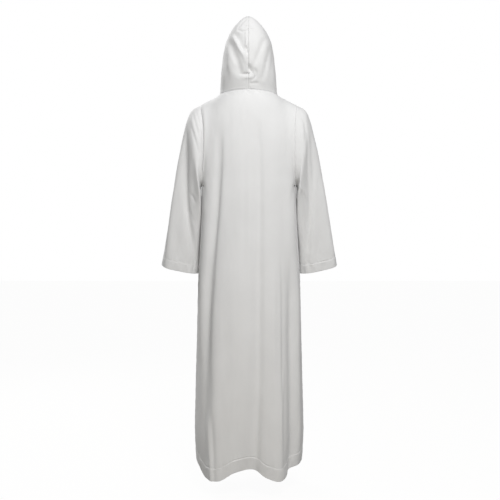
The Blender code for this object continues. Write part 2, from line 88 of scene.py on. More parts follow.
# Plan sections of the body from the hem to the armpit.
BODY = table(
    "height  width  back   front  square",
    (-1.460, 0.195, 0.184, 0.178, 2.10),
    (-1.370, 0.2035, 0.182, 0.176, 2.10),
    (-1.290, 0.208, 0.178, 0.172, 2.10),
    (-1.170, 0.206, 0.171, 0.166, 2.15),
    (-0.940, 0.2002, 0.157, 0.153, 2.20),
    (-0.700, 0.1944, 0.145, 0.142, 2.25),
    (-0.530, 0.1860, 0.139, 0.136, 2.30),
    (-0.352, 0.1820, 0.136, 0.133, 2.35),
)

# Height of the hem round the body: 0 left side, 90 centre back, 180 right side, 270 front.
HEM = table(
    "angle height",
    (-20, -1.404), (0, -1.394), (20, -1.408), (34, -1.436), (46, -1.439), (60, -1.436),
    (74, -1.408), (89, -1.399), (99, -1.405), (107, -1.423), (120, -1.437), (130, -1.429),
    (138, -1.418), (146, -1.406), (158, -1.397), (180, -1.391), (200, -1.402), (222, -1.42),
    (240, -1.424), (258, -1.408), (278, -1.42), (298, -1.41), (316, -1.422), (340, -1.404),
    (360, -1.394), (380, -1.408),
)

# Columns of cells above the armpit, by their share from the armhole (0) to the centre (1).
# Each climbs straight for the lift's share of its height, then heads for its place on the
# top edge: it comes in from reach metres away, on a heading (90 is from straight behind),
# and from drop metres lower than the slope of the shoulder. 1 is the back, -1 the front.
RISE = {
    1: table(
        "share lift  reach  heading drop",
        (0.00, 0.60, 0.070, 88.0, 0.004),
        (0.30, 0.64, 0.078, 52.0, 0.003),
        (0.50, 0.62, 0.062, 58.0, 0.010),
        (0.75, 0.58, 0.044, 76.0, 0.026),
        (1.00, 0.55, 0.034, 90.0, 0.036),
    ),
    -1: table(
        "share lift  reach  heading drop",
        (0.00, 0.60, 0.070, 88.0, 0.004),
        (0.30, 0.64, 0.078, 50.0, 0.004),
        (0.50, 0.58, 0.056, 55.0, 0.026),
        (0.75, 0.42, 0.030, 70.0, 0.050),
        (1.00, 0.35, 0.014, 90.0, 0.060),
    ),
}
CHEST_DEPTH = {1: 0.134, -1: 0.136}
CHEST_EDGE = np.array((0.176, 0.108))  # plan place of the armhole at chest height
CHEST_START = 42.0  # angle of the section at that edge, in degrees
EDGE_REACH = 0.45  # share of a half panel over which the armhole shapes it
FOLD_CLEAR = 0.35  # share over which the armhole seam holds the folds down
SHOULDER_SLOPE = 0.54
SWAY = 0.0025
SWAY_DEPTH = 0.25  # below the origin, where the sway has grown to its full size
IRON_STEP = 4.0e-7  # square metres; with the passes it evens out what is under 30 mm across
IRON_PASSES = 500

# Rings down the sleeve, from the armhole to the cuff. Each ring spans the outer and the
# inner line, bulges to the back and to the front of the sleeve's middle, and its inner line
# is drawn back against the body, so far behind that middle.
SLEEVE = table(
    "share  outer_x outer_z inner_x inner_z back   front  middle drawn",
    (0.00, 0.1860, -0.0430, 0.1820, -0.3520, 0.090, 0.080, 0.000, 0.000),
    (0.06, 0.2180, -0.0630, 0.1860, -0.3580, 0.086, 0.090, 0.003, 0.017),
    (0.12, 0.2345, -0.0990, 0.1838, -0.3710, 0.076, 0.103, 0.006, 0.034),
    (0.20, 0.2465, -0.1480, 0.1818, -0.3940, 0.059, 0.117, 0.010, 0.042),
    (0.35, 0.2660, -0.2420, 0.1820, -0.4450, 0.041, 0.124, 0.010, 0.030),
    (0.55, 0.2895, -0.3680, 0.1860, -0.5150, 0.038, 0.112, 0.000, 0.010),
    (0.78, 0.3142, -0.5130, 0.1922, -0.6000, 0.040, 0.094, -0.014, -0.006),
    (1.00, 0.3388, -0.6520, 0.1955, -0.6840, 0.043, 0.078, -0.028, -0.012),
)
SLEEVE_SQUARE = 2.2  # an ellipse would be 2
ARMHOLE_INSET = {"back": 0.012, "front": 0.018}  # how far the armhole curves in
INSET_REACH = 0.2  # share of the sleeve's length over which that runs out
CUFF_DROOP = 0.010  # how much lower the back of the cuff hangs than its sides

# Rows of the hood from the neckline (0) to the seam over the head (1). The face angle is
# where a row ends, from its side: at 90 it reaches the centre front, where the two halves
# are joined.
HOOD = table(
    "share  width  back   face   back_z side_z face_z face_angle",
    (0.0000, 0.1100, 0.0880, 0.1200, 0.0045, -0.003, -0.165, 90.0),
    (0.0720, 0.1085, 0.0960, 0.1250, 0.0290, 0.0195, -0.127, 90.0),
    (0.1430, 0.1066, 0.1025, 0.1275, 0.0540, 0.0430, -0.088, 83.0),
    (0.2140, 0.1050, 0.1075, 0.1290, 0.0790, 0.0670, -0.052, 75.0),
    (0.2860, 0.1030, 0.1115, 0.1295, 0.1050, 0.0920, -0.015, 66.0),
    (0.4500, 0.0970, 0.1140, 0.1280, 0.1600, 0.1500, 0.070, 46.0),
    (0.6000, 0.0870, 0.1070, 0.1230, 0.2050, 0.1950, 0.132, 33.0),
    (0.7400, 0.0692, 0.0945, 0.1170, 0.2430, 0.2340, 0.181, 30.0),
    (0.8600, 0.0445, 0.0790, 0.1090, 0.2700, 0.2640, 0.216, 30.0),
    (0.9500, 0.0240, 0.0630, 0.1010, 0.2835, 0.2800, 0.238, 30.0),
    (1.0000, 0.0000, 0.0500, 0.0950, 0.2880, 0.2860, 0.246, 30.0),
)
HOOD_SQUARE = 0.45  # how much squarer than an ellipse the back of the hood is
HOOD_SQUARE_FROM = 0.2  # the share of the rows where it is fully so
HEAD_CENTRE = 0.12  # height of the point that the hood's folds face, or their own below it

# The body's folds run up its height, with the angles that the hem has.
BODY_FOLDS = folds(
    (  # long trough down the left of the back
        (-1.46, 38, 9, 0), (-1.2, 39, 9, -2), (-1.07, 39, 8, -5), (-0.93, 38, 7, -9),
        (-0.79, 40, 6.5, -11), (-0.61, 45.5, 6, -9), (-0.46, 51, 6, -8), (-0.24, 55, 6, -4),
        (-0.12, 57, 6, 0),
    ),
    (  # left lobe of the back hem, sharp towards the side from the knee down
        (-1.46, 52, 11, 17), (-1.2, 54, 10, 10), (-0.85, 56, 9, 4), (-0.6, 58, 9, 0),
    ),
    (  # full cloth between that trough and the left side, from armpit to hip
        (-1.02, 22, 12, 0), (-0.93, 23, 12, 3), (-0.79, 26, 12, 8), (-0.61, 31, 12, 10),
        (-0.46, 33, 12, 10), (-0.3, 34, 12, 6), (-0.2, 34, 12, 0),
    ),
    (  # soft trough right of the centre back
        (-1.46, 95, 11, -4), (-1.25, 97, 11, -8), (-0.9, 99, 9, -8), (-0.6, 100, 8, -7),
        (-0.4, 100, 7, -5), (-0.24, 101, 7, -3), (-0.1, 102, 7, 0),
    ),
    (  # hollow of the back hem between its lobes
        (-1.46, 90, 14, -34), (-1.32, 91, 14, -20), (-1.15, 92, 14, -8), (-0.95, 94, 14, 0),
    ),
    (  # right lobe of the back hem
        (-1.46, 121, 11, 17), (-1.2, 121, 11, 9), (-0.8, 122, 10, 0),
    ),
    (  # trough at the right of the back
        (-1.46, 143, 8, -19), (-1.1, 142, 8, -15), (-0.8, 141, 7, -10), (-0.58, 140, 7, 0),
    ),
    (  # rounded cloth right of that trough
        (-1.46, 153, 8, 4), (-1.1, 152, 8, 8), (-0.9, 152, 8, 6), (-0.7, 152, 8, 0),
    ),
    (  # full cloth beside the right side, from armpit to hip
        (-1.02, 160, 12, 0), (-0.93, 158, 12, 3), (-0.79, 154, 12, 8), (-0.61, 149, 12, 10),
        (-0.46, 147, 12, 10), (-0.3, 146, 12, 6), (-0.2, 146, 12, 0),
    ),
    (  # right side of the front
        (-1.46, 222, 9, -20), (-1, 224, 8, -15), (-0.6, 226, 7, -9), (-0.3, 229, 7, 0),
    ),
    (  # right lobe of the front hem
        (-1.46, 241, 9, 11), (-1.1, 242, 9, 5), (-0.8, 243, 9, 0),
    ),
    (  # right of the centre front
        (-1.46, 258, 10, -21), (-1.2, 259, 10, -14), (-0.8, 261, 9, -7), (-0.46, 263, 9, 0),
    ),
    (  # left of the centre front
        (-1.46, 298, 9, -19), (-1.2, 297, 9, -15), (-0.9, 296, 8, -11), (-0.5, 294, 7, -6),
        (-0.26, 292, 7, 0),
    ),
    (  # centre lobe of the front hem
        (-1.46, 278, 9, 12), (-1.1, 278, 9, 5), (-0.8, 278, 9, 0),
    ),
    (  # left side of the front
        (-1.46, 326, 8, -17), (-1.1, 324, 8, -14), (-0.7, 322, 7, -9), (-0.36, 320, 6, 0),
    ),
)
# The sleeves' folds run from the armhole (0) to the cuff (1). The angle is 0 on the outer
# line and 90 at the back, on the right sleeve too.
LEFT_SLEEVE_FOLDS = folds(
    (  # the back of the sleeve keeps full towards its outer line
        (0.08, 22, 14, 0), (0.16, 28, 16, 10), (0.3, 36, 18, 17), (0.5, 42, 20, 19),
        (0.8, 48, 22, 14), (1, 54, 24, 8),
    ),
    (  # diagonal trough across the back of the sleeve
        (0.06, 24, 12, 0), (0.12, 36, 13, -3), (0.18, 48, 14, -6), (0.32, 68, 14, -9),
        (0.5, 88, 14, -9), (0.66, 114, 14, -8), (0.8, 130, 14, -5), (0.96, 138, 14, 0),
    ),
    (  # trough down the front of the sleeve
        (0.08, 300, 10, 0), (0.25, 292, 11, -10), (0.6, 276, 11, -11), (0.9, 262, 11, 0),
    ),
)
RIGHT_SLEEVE_FOLDS = folds(
    (  # the same three on the right, less deep
        (0.1, 34, 16, 0), (0.25, 36, 18, 8), (0.5, 38, 20, 11), (0.8, 40, 20, 11), (1, 42, 20, 8),
    ),
    (
        (0.04, 50, 12, 0), (0.12, 66, 13, -5), (0.22, 82, 14, -7), (0.38, 92, 14, -7),
        (0.54, 100, 14, -7), (0.68, 110, 14, -6), (0.82, 122, 14, -4), (0.94, 130, 14, 0),
    ),
    (
        (0.08, 296, 10, 0), (0.25, 288, 11, -9), (0.6, 272, 11, -10), (0.88, 258, 11, 0),
    ),
)
# On the hood the angle is 0 at the centre back seam and grows to the wearer's left.
HOOD_FOLDS = folds(
    (  # trough that falls from the upper left to the pocket at the nape
        (0.1, 10, 9, 0), (0.16, 14, 10, -4), (0.23, 19, 10, -5), (0.34, 26, 10, -5),
        (0.48, 39, 10, -4), (0.58, 56, 10, -3), (0.68, 72, 10, 0),
    ),
    (  # ridge above that trough
        (0.18, -18, 8, 0), (0.25, -10, 8, 1.5), (0.34, 4, 8, 2), (0.48, 20, 8, 2),
        (0.62, 46, 8, 1.5), (0.72, 60, 8, 0),
    ),
    (  # ridge below it
        (0.1, 20, 9, 0), (0.18, 28, 9, 1), (0.3, 41, 9, 1.8), (0.44, 58, 9, 1.5),
        (0.56, 76, 9, 0),
    ),
    (  # left side trough
        (0.06, 40, 8, 0), (0.14, 45, 8, -1.2), (0.3, 60, 8, -1.8), (0.45, 73, 8, -1.2),
        (0.56, 82, 8, 0),
    ),
    (  # right side trough
        (0.08, -44, 9, 0), (0.2, -50, 9, -1.8), (0.45, -66, 9, -1.6), (0.6, -72, 9, 0),
    ),
)


# --- curves and surfaces, on whole arrays of places ---------------------------------------------


def eased(value, start, end):
    """0 before the start, 1 after the end, and smooth between them."""
    t = np.clip((value - start) / (end - start), 0.0, 1.0)
    return t * t * (3 - 2 * t)


def read(rows, column, at):
    """The column's values at places along the table, on a smooth curve through its rows."""
    places = np.array(next(iter(rows.values())), dtype=float)
    values = np.array(rows[column], dtype=float)
    before = np.maximum(np.arange(len(places)) - 1, 0)
    after = np.minimum(np.arange(len(places)) + 1, len(places) - 1)
    slopes = (values[after] - values[before]) / (places[after] - places[before])
    at = np.clip(at, places[0], places[-1])
    i = np.clip(np.searchsorted(places, at, side="right") - 1, 0, len(places) - 2)
    span = places[i + 1] - places[i]
    s = (at - places[i]) / span
    return (
        values[i] * (2 * s**3 - 3 * s**2 + 1)
        + slopes[i] * span * (s**3 - 2 * s**2 + s)
        + values[i + 1] * (3 * s**2 - 2 * s**3)
        + slopes[i + 1] * span * (s**3 - s**2)
    )


def read_all(rows, at):
    """The values of every column but the first at places along the table."""
    return [read(rows, column, at) for column in list(rows)[1:]]


def relief(paths, along, angle):
    """How far all folds together move the cloth out at each place."""
    total = np.zeros(np.broadcast_shapes(np.shape(along), np.shape(angle)))
    for path in paths:
        on = (along >= path["along"][0]) & (along <= path["along"][-1])
        off = (angle - read(path, "angle", along) + 180.0) % 360.0 - 180.0
        off = off / read(path, "spread", along)
        total += on * read(path, "rise", along) * np.exp(-off * off)
    return total


def rounded(value, square):
    """A cosine or sine, pushed out so that an ellipse grows squarer as square passes 2."""
    return np.copysign(np.abs(value) ** (2.0 / square), value)


def cos_sin(angle):
    """The cosine and the sine of an angle in degrees."""
    return np.cos(np.radians(angle)), np.sin(np.radians(angle))


def points(x, y, z):
    return np.stack(np.broadcast_arrays(x, y, z), axis=-1).astype(float)


def unit(vectors):
    return vectors / np.maximum(np.linalg.norm(vectors, axis=-1, keepdims=True), 1e-12)


def neckline(angle):
    """Points of the neck seam: 90 centre back, 0 the left neck point, -90 centre front."""
    across, along = cos_sin(angle)
    back = angle >= 0
    depth = np.where(back, NECK_BACK_DEPTH, NECK_FRONT_DEPTH)
    fall = (NECK_V_DROP - NECK_POINT_DROP) * (1 - across)
    height = NECK_POINT_DROP + np.where(back, NECK_BACK_RISE * along**2, fall)
    return points(NECK_HALF_WIDTH * across, depth * along, height)


def sleeve_ring(share, angle):
    """Points of the left sleeve: 0 its outer line, 90 its back, 180 its inner line."""
    outer_x, outer_z, inner_x, inner_z, back, front, middle, drawn = read_all(SLEEVE, share)
    outer, inner = points(outer_x, 0, outer_z), points(inner_x, 0, inner_z)
    behind = angle % 360.0 < 180.0
    cosine, sine = cos_sin(angle)
    ring = (outer + inner) / 2 + (outer - inner) / 2 * rounded(cosine, SLEEVE_SQUARE)[..., None]
    ring[..., 1] = middle + np.where(behind, back, front) * rounded(sine, SLEEVE_SQUARE)
    ring[..., 1] += drawn * ((1 - cosine) / 2) ** 2
    inset = np.where(behind, ARMHOLE_INSET["back"], ARMHOLE_INSET["front"])
    ring[..., 0] -= inset * sine**2 * np.maximum(0.0, 1 - share / INSET_REACH) ** 2
    ring[..., 2] -= CUFF_DROOP * sine * share**2
    return ring


def sleeve_surface(paths, mirror):
    """The surface function of a sleeve, with the right one mirrored from the left."""

    def surface(around, down):
        angle = 360.0 * around
        ring = sleeve_ring(down, angle)
        middle = (sleeve_ring(down, 0.0 * angle) + sleeve_ring(down, 180.0 + 0.0 * angle)) / 2
        ring += unit(ring - middle) * relief(paths, down, angle)[..., None]
        if mirror:
            ring[..., 0] *= -1
        return swayed(ring)

    return surface


def body_ring(height, angle):
    """Points of the unfolded body, 0 at the left side seam and 90 at the centre back."""
    cosine, sine = cos_sin(angle)
    width, back, front, square = read_all(BODY, height)
    depth = np.where(sine >= 0, back, front)
    return points(width * rounded(cosine, square), depth * rounded(sine, square), height)


def body_folded(base, angle, share=1.0):
    """The points moved out or in by a share of the body's folds."""
    out = points(*cos_sin(angle), 0)
    return base + out * (share * relief(BODY_FOLDS, base[..., 2], angle % 360.0))[..., None]


def swayed(base):
    """The robe hangs a touch to the wearer's right below its shoulders."""
    hang = np.clip(-base[..., 2] / SWAY_DEPTH, 0.0, 1.0)
    base[..., 0] -= SWAY * hang * hang * (3 - 2 * hang)
    return base


def top_edge(side, share):
    """Points of the panel's top edge on the left half: shoulder seam, then neckline."""
    along = np.minimum(share / SHOULDER_SHARE, 1.0)[..., None]
    shoulder = SHOULDER_TIP + (neckline(np.zeros(1)) - SHOULDER_TIP) * along
    round_neck = np.maximum(share - SHOULDER_SHARE, 0.0) / (1 - SHOULDER_SHARE)
    on_neck = (share > SHOULDER_SHARE)[..., None]
    return np.where(on_neck, neckline(side * 90.0 * round_neck), shoulder)


def column_curve(side, share):
    """The four points of the Bezier curve that a column of cells climbs above the armpit."""
    square = read(BODY, "square", ARMPIT[2])
    start = math.radians(CHEST_START)
    turn = start + share * (math.pi / 2 - start)
    across = rounded(np.cos(turn), square) / rounded(math.cos(start), square)
    inward = rounded(np.sin(turn), square) - rounded(math.sin(start), square)
    inward /= 1 - rounded(math.sin(start), square)
    depth = CHEST_EDGE[1] + (CHEST_DEPTH[side] - CHEST_EDGE[1]) * inward

    low = body_ring(ARMPIT[2] + 0.0 * share, side * 90.0 * share)
    top = top_edge(side, share)
    lift, reach, heading, drop = read_all(RISE[side], share)
    height = low[..., 2] + lift * (top[..., 2] - low[..., 2])
    chest = points(CHEST_EDGE[0] * across, side * depth, height)
    cosine, sine = cos_sin(heading)
    over = points(reach * cosine, side * reach * sine, 0)
    over[..., 2] = -SHOULDER_SLOPE * over[..., 0] - drop
    return low, chest, top + over, top


def bezier(corners, t):
    weights = ((1 - t) ** 3, 3 * (1 - t) ** 2 * t, 3 * (1 - t) * t**2, t**3)
    return sum(corner * weight[..., None] for corner, weight in zip(corners, weights))


def panel_top(side, share, up):
    """Points of the left half of a panel above the armpit, unfolded.

    share runs from the armhole (0) to the centre line (1), and up from the armpit (0) to
    the top edge (1). side is 1 for the back and -1 for the front.
    """
    near_edge = np.maximum(0.0, 1 - share / EDGE_REACH) ** 2
    base = bezier(column_curve(side, share), up ** (1.4 + 0.45 * near_edge))
    armhole = sleeve_ring(0.0 * up, side * 180.0 * (1 - up))
    edge = bezier(column_curve(side, 0.0 * share), up**1.85)
    return base + (armhole - edge) * near_edge[..., None]


def ironed(grid, across, up):
    """Evens out the kink that the corner of the neck sends down a panel, clear of its seams."""
    share = np.minimum(across, 2.0 - across)
    free = eased(share, 0.0, 0.12) * eased(up, 1.0, 1.15) * eased(2.0 - up, 0.0, 0.14)
    free = free[1:-1, :, None]
    gaps = np.linalg.norm(np.diff(grid, axis=0), axis=-1)[..., None]
    before, after = gaps[:-1], gaps[1:]
    pace = 2 * IRON_STEP / (before + after) * free
    for _ in range(IRON_PASSES):
        slope = np.diff(grid, axis=0)
        grid[1:-1] += pace * (slope[1:] / after - slope[:-1] / before)
    return grid


def panel_surface(side):
    """The surface function of the back (1) or the front (-1) panel."""

    def surface(across, up):
        angle = side * 90.0 * across
        hem = read(HEM, "height", angle % 360.0)
        low = body_ring(hem + (ARMPIT[2] - hem) * np.minimum(up, 1.0), angle)
        low = body_folded(low, angle)

        left = across <= 1.0
        share = np.where(left, across, 2.0 - across)
        top = panel_top(side, share, np.maximum(up - 1.0, 0.0))
        top[..., 0] *= np.where(left, 1.0, -1.0)
        top = ironed(top, across, up)
        # The folds run on, straight up from where they are at the armpit.
        reach = np.minimum(1.0, np.abs(top[..., 0]) / read(BODY, "width", ARMPIT[2]))
        above = np.degrees(np.arccos(reach ** (read(BODY, "square", ARMPIT[2]) / 2)))
        above = side * np.where(left, above, 180.0 - above)
        free = np.sin(math.pi / 2 * np.minimum(1.0, share / FOLD_CLEAR)) ** 2
        top = body_folded(top, above, share=free)
        return swayed(np.where((up <= 1.0)[..., None], low, top))

    return surface


def hood_surface(half):
    """The surface function of the left (1) or the right (-1) half of the hood."""

    def surface(across, up):
        width, back, front, back_z, side_z, face_z, face = read_all(HOOD, up)
        face = np.minimum(90.0, face)
        angle = np.where(across <= 0.5, 90.0 * (1 - 2 * across), -face * (2 * across - 1))
        cosine, sine = cos_sin(angle)
        face_cosine, face_sine = cos_sin(face)
        rise = (back_z - side_z) * sine**2
        fall = (face_z - side_z) * (1 - cosine) / (1 - face_cosine)
        square = 2 + HOOD_SQUARE * eased(up, 0.0, HOOD_SQUARE_FROM)
        behind = angle >= 0
        height = side_z + np.where(behind, rise, fall)
        depth = np.where(behind, back * rounded(sine, square), front * sine / face_sine)
        base = points(width * np.where(behind, rounded(cosine, square), cosine), depth, height)
        head = points(0.0, 0.0, np.minimum(height, HEAD_CENTRE))
        base += unit(base - head) * relief(HOOD_FOLDS, up, half * (90.0 - angle))[..., None]
        base[..., 0] *= half
        return swayed(base)

    return surface


# --- the cloth --------------------------------------------------------------------------------

CLOTH = 0.0011  # thickness of the shell
TURNED_CLOTH = 0.0022  # where an edge is turned in and stitched
ALLOWANCE = 0.010  # width of the cloth turned in along a seam
HEM_TURN, HEM_STITCH = 0.050, 0.045  # width turned in, and the stitches' distance from the edge
CUFF_TURN, CUFF_STITCH = 0.036, 0.033
FACE_TURN, FACE_STITCH = 0.031, 0.028
NECK_STITCH = 0.015  # the stitches' distance from the neck seam
SEAM_SINK = 0.0012
SEAM_ROLL = 0.0007  # rise over the allowances beside a seam
SEAM_GATHER = 0.0007  # height of the short waves beside it
BAND_RISE = 0.0007  # how far a turned edge stands out
BAND_TWIST = 0.0007  # height of the waves along it
STITCH_DENT = 0.0009  # depth of the line that a row of stitches lies in
PUCKER = 0.0009  # height of the puckers beside a row of stitches

# How many cells each run of the grids has, and about how much cloth it spans.
SHOULDER_CELLS, SHOULDER_LENGTH = 30, 0.088
BACK_NECK_RUN = (60, 0.155)
FRONT_NECK_RUN = (36, 0.240)
ARMHOLE_CELLS, ARMHOLE_LENGTH = 90, 0.330
BODY_CELLS, BODY_LENGTH = 125, 1.045
SLEEVE_CELLS, SLEEVE_LENGTH = 135, 0.500
HOOD_CELLS, HOOD_LENGTH = 150, 0.380
SEAM_LINES = (0.0011, 0.0024, 0.0042, 0.0070)  # how far from a seam the extra lines are
FRONT_JOIN = 1 / 14  # how far up the halves of the hood are sewn together in front
LATTICE = 256  # values each way in the noise before it repeats
RIM_TURN = (45.0, 90.0, 135.0)  # angles of the lines that round a turned edge
CLOTH_MAP = "cloth_metres"


def evenly(start, end, cells):
    return [start + (end - start) * i / cells for i in range(cells + 1)]


def with_lines(places, extra):
    """The places with the extra ones added. Those that lie close to an extra one make way."""
    step = (places[-1] - places[0]) / len(places)
    ends = (places[0], places[-1])
    near = [p for p in places if p not in ends and min(abs(p - e) for e in extra) < step / 3]
    return sorted(set(places) - set(near) | set(extra))


def beside(seam, inward, length):
    """Places of the extra lines beside a seam, in a run that is that many metres long."""
    return [seam + inward * line / length for line in SEAM_LINES]


def band(low, high, step, length):
    """Places of close lines, from low to high metres along a run of that length."""
    return [place / length for place in np.arange(low, high, step).tolist()]


def waver(along, beside, size_along, size_beside, seed, girth=None):
    """Smooth noise from -1 to 1, on a lattice of cells of the given sizes.

    Round a tube, it repeats after the girth.
    """
    lattice = np.random.default_rng(seed).uniform(-1, 1, (LATTICE, LATTICE))
    repeat = LATTICE
    if girth:
        repeat = max(2, round(girth / size_along))
        size_along = girth / repeat
    u, v = along / size_along, beside / size_beside + 40.0
    i, j = np.floor(u).astype(int), np.floor(v).astype(int)
    f, g = (w**3 * (w * (6 * w - 15) + 10) for w in (u - i, v - j))
    i, i_next, j, j_next = i % repeat, (i + 1) % repeat, j % LATTICE, (j + 1) % LATTICE
    low = lattice[i, j] * (1 - f) + lattice[i_next, j] * f
    high = lattice[i, j_next] * (1 - f) + lattice[i_next, j_next] * f
    return low * (1 - g) + high * g


def lengths(grid, axis):
    """The distance run along the grid's lines up to each point."""
    steps = np.linalg.norm(np.diff(grid, axis=axis), axis=-1)
    start = np.zeros_like(np.take(steps, [0], axis=axis))
    return np.concatenate([start, np.cumsum(steps, axis=axis)], axis=axis)


# Each edge of a grid: its index, and that of the line next to it.
EDGES = {
    "first_column": (np.s_[0, :], np.s_[1, :]),
    "last_column": (np.s_[-1, :], np.s_[-2, :]),
    "first_row": (np.s_[:, 0], np.s_[:, 1]),
    "last_row": (np.s_[:, -1], np.s_[:, -2]),
}


class Cloth:
    """One cut piece of cloth as a fine grid: its points, and how far the relief moves them.

    The first axis of each array runs across the piece and the second runs up it. seams
    names the sewn edges, each with the stretch of it that is sewn, and turned is the edge
    that is turned in. around is set for a tube, whose first and last columns are one line.
    grain is the place across of the column that the straight of the cloth follows.
    """

    def __init__(
        self, name, surface, across, up, seams, turned, around=False, flipped=False, grain=0.0
    ):
        self.name, self.seams, self.turned = name, seams, turned
        self.around, self.flipped = around, flipped
        self.across, self.up = np.array(across), np.array(up)
        self.place = np.meshgrid(self.across, self.up, indexing="ij")
        self.base = surface(*self.place)
        self.run_across, self.run_up = lengths(self.base, 0), lengths(self.base, 1)
        self.girth = self.run_across[-1].mean() if around else None
        if around:
            self.run_across *= self.girth / self.run_across[-1:]
        straight = int(np.argmin(np.abs(self.across - grain)))
        self.width_run = self.run_across - self.run_across[straight]
        self.normals = self.find_normals(self.base)
        self.rise = np.zeros(self.base.shape[:2])
        self.thick = np.full(self.rise.shape, CLOTH)
        self.sewn = self.find_sewn()

    def find_normals(self, grid):
        """Normals of the grid that face out of the garment."""
        if self.around:
            along = np.roll(grid[:-1], -1, axis=0) - np.roll(grid[:-1], 1, axis=0)
            along = np.concatenate([along, along[:1]])
        else:
            along = np.gradient(grid, axis=0)
        normals = unit(np.cross(along, np.gradient(grid, axis=1)))
        return -normals if self.flipped else normals

    def away(self, edge):
        """How far every point of the grid is from an edge, along its own line."""
        run = self.run_across if "column" in edge else self.run_up
        if "first" in edge:
            return run
        return (run[-1:] if "column" in edge else run[:, -1:]) - run

    def find_sewn(self):
        """Which points of the grid lie on a seam."""
        on = np.zeros(self.rise.shape, dtype=bool)
        for seam, (low, high) in self.seams.items():
            along = self.up if "column" in seam else self.across
            on[EDGES[seam][0]] |= (along >= low) & (along <= high)
        return on

    def seam_distance(self):
        """How far each point is from the nearest seam."""
        nearest = np.full(self.rise.shape, 1.0)
        for seam, (low, high) in self.seams.items():
            along = self.place[1 if "column" in seam else 0]
            beyond = np.maximum(0.0, np.maximum(low - along, along - high))
            nearest = np.minimum(nearest, np.hypot(self.away(seam), beyond * HOOD_LENGTH))
        return nearest

    def off_edge(self):
        """At each point of the turned edge, the direction that leads off the cloth."""
        out = np.zeros(self.base.shape)
        index, inner = EDGES[self.turned]
        out[index] = unit(self.base[index] - self.base[inner])
        out[self.sewn] = 0.0
        return out

    def form(self):
        """Moves the points out by the relief, and lays the inside behind them."""
        self.outside = self.base + self.normals * self.rise[..., None]
        seam_normals = self.normals[self.sewn]
        self.normals = self.find_normals(self.outside)
        self.normals[self.sewn] = seam_normals
        self.inside = self.outside - self.normals * self.thick[..., None]

    def line(self, edge, distance, low=-math.inf, high=math.inf):
        """Points and normals along the line at a distance from an edge, between two places."""
        away, places = self.away(edge), self.across
        values = np.concatenate([self.outside, self.normals], axis=-1)
        if "column" in edge:
            away, places, values = away.T, self.up, values.swapaxes(0, 1)
        found = []
        for run, place, columns in zip(away, places, values.swapaxes(1, 2)):
            if low <= place <= high:
                order = np.argsort(run)
                found.append([np.interp(distance, run[order], c[order]) for c in columns])
        found = np.array(found)
        return found[:, :3], unit(found[:, 3:])


def sew_seams(cloth, seed):
    """Sinks the cloth into its seams, with a soft roll over the allowances beside them."""
    distance = cloth.seam_distance()
    cloth.rise -= SEAM_SINK * np.exp(-((distance / 0.0015) ** 2))
    roll = eased(distance, 0.0008, 0.0035) * (1 - eased(distance, ALLOWANCE * 0.5, ALLOWANCE))
    # The seam gathers the cloth a little, in short waves that run off it.
    gather = waver(cloth.width_run, cloth.run_up, 0.012, 0.012, seed, cloth.girth)
    cloth.rise += roll * (SEAM_ROLL + SEAM_GATHER * gather)
    cloth.thick += 0.7 * CLOTH * (1 - eased(distance, ALLOWANCE - 0.0015, ALLOWANCE))


def turn_edge(cloth, width, stitch, seed):
    """Doubles the cloth along its turned edge, dents it along the stitches and puckers it."""
    distance = cloth.away(cloth.turned)
    along = cloth.run_up if "column" in cloth.turned else cloth.run_across
    over = 1 - eased(distance, width - 0.0008, width)
    cloth.thick += (TURNED_CLOTH - CLOTH) * over
    free = eased(cloth.seam_distance(), 0.0, 0.012)
    cloth.rise += BAND_RISE * (1 - eased(distance, stitch - 0.001, stitch + 0.003)) * free
    stitch_dent(cloth, distance - stitch, along, free, seed)
    # The doubled band twists a little, so its own waves lean.
    girth = cloth.girth
    lean = waver(along + 0.8 * distance, distance, 0.024, 0.200, seed + 7, girth)
    lean += 0.5 * waver(along - 0.5 * distance, distance, 0.013, 0.060, seed + 9, girth)
    cloth.rise += BAND_TWIST * lean * free * (1 - eased(distance, stitch * 0.8, stitch * 1.3))


def stitch_dent(cloth, off, along, free, seed):
    """The dent of a row of stitches, with the puckers that it draws in the cloth."""
    girth = cloth.girth
    cloth.rise -= STITCH_DENT * np.exp(-((off / 0.0018) ** 2)) * free
    waves = waver(along, off, 0.016, 0.080, seed, girth)
    waves += 0.7 * waver(along, off, 0.0075, 0.040, seed + 1, girth)
    waves += 0.4 * waver(along, off, 0.0040, 0.025, seed + 2, girth)
    reach = np.exp(-((off / 0.012) ** 2)) * eased(np.abs(off), 0.0, 0.004)
    cloth.rise += PUCKER * waves * reach * free


def soften(cloth, height, size_across, size_down, seed):
    """The faint unevenness of cloth that hangs, longer along the fall than across it."""
    free = eased(cloth.seam_distance(), 0.002, 0.030)
    u, v, girth = cloth.width_run, -cloth.base[..., 2], cloth.girth
    bent = u + 0.012 * waver(v, u, 0.2, 0.2, seed + 3)
    waves = waver(bent, v, size_across, size_down, seed, girth)
    waves += 0.5 * waver(bent, v, size_across * 0.45, size_down * 0.5, seed + 1, girth)
    waves += 0.2 * waver(u, v, size_across * 0.2, size_down * 0.15, seed + 2, girth)
    cloth.rise += height * waves * free


def valley(cloth, edge, rows, facing, width):
    """Sinks both pieces along a seam that pulls, as deep as rows says for each height."""
    distance = cloth.away(edge)
    depth = read(rows, "depth", -cloth.base[..., 2])
    turned_to = eased(facing * cloth.normals[..., 1], 0.0, 0.4)
    cloth.rise -= depth * turned_to * np.exp(-((distance / width) ** 2))


def smooth_path(rows, per_row=6):
    """A crease's rows as arrays, with more points on a smooth curve between them."""
    count = len(next(iter(rows.values())))
    numbered = {"row": list(range(count)), **rows}
    at = np.linspace(0, count - 1, per_row * (count - 1) + 1)
    return {column: read(numbered, column, at) for column in rows}


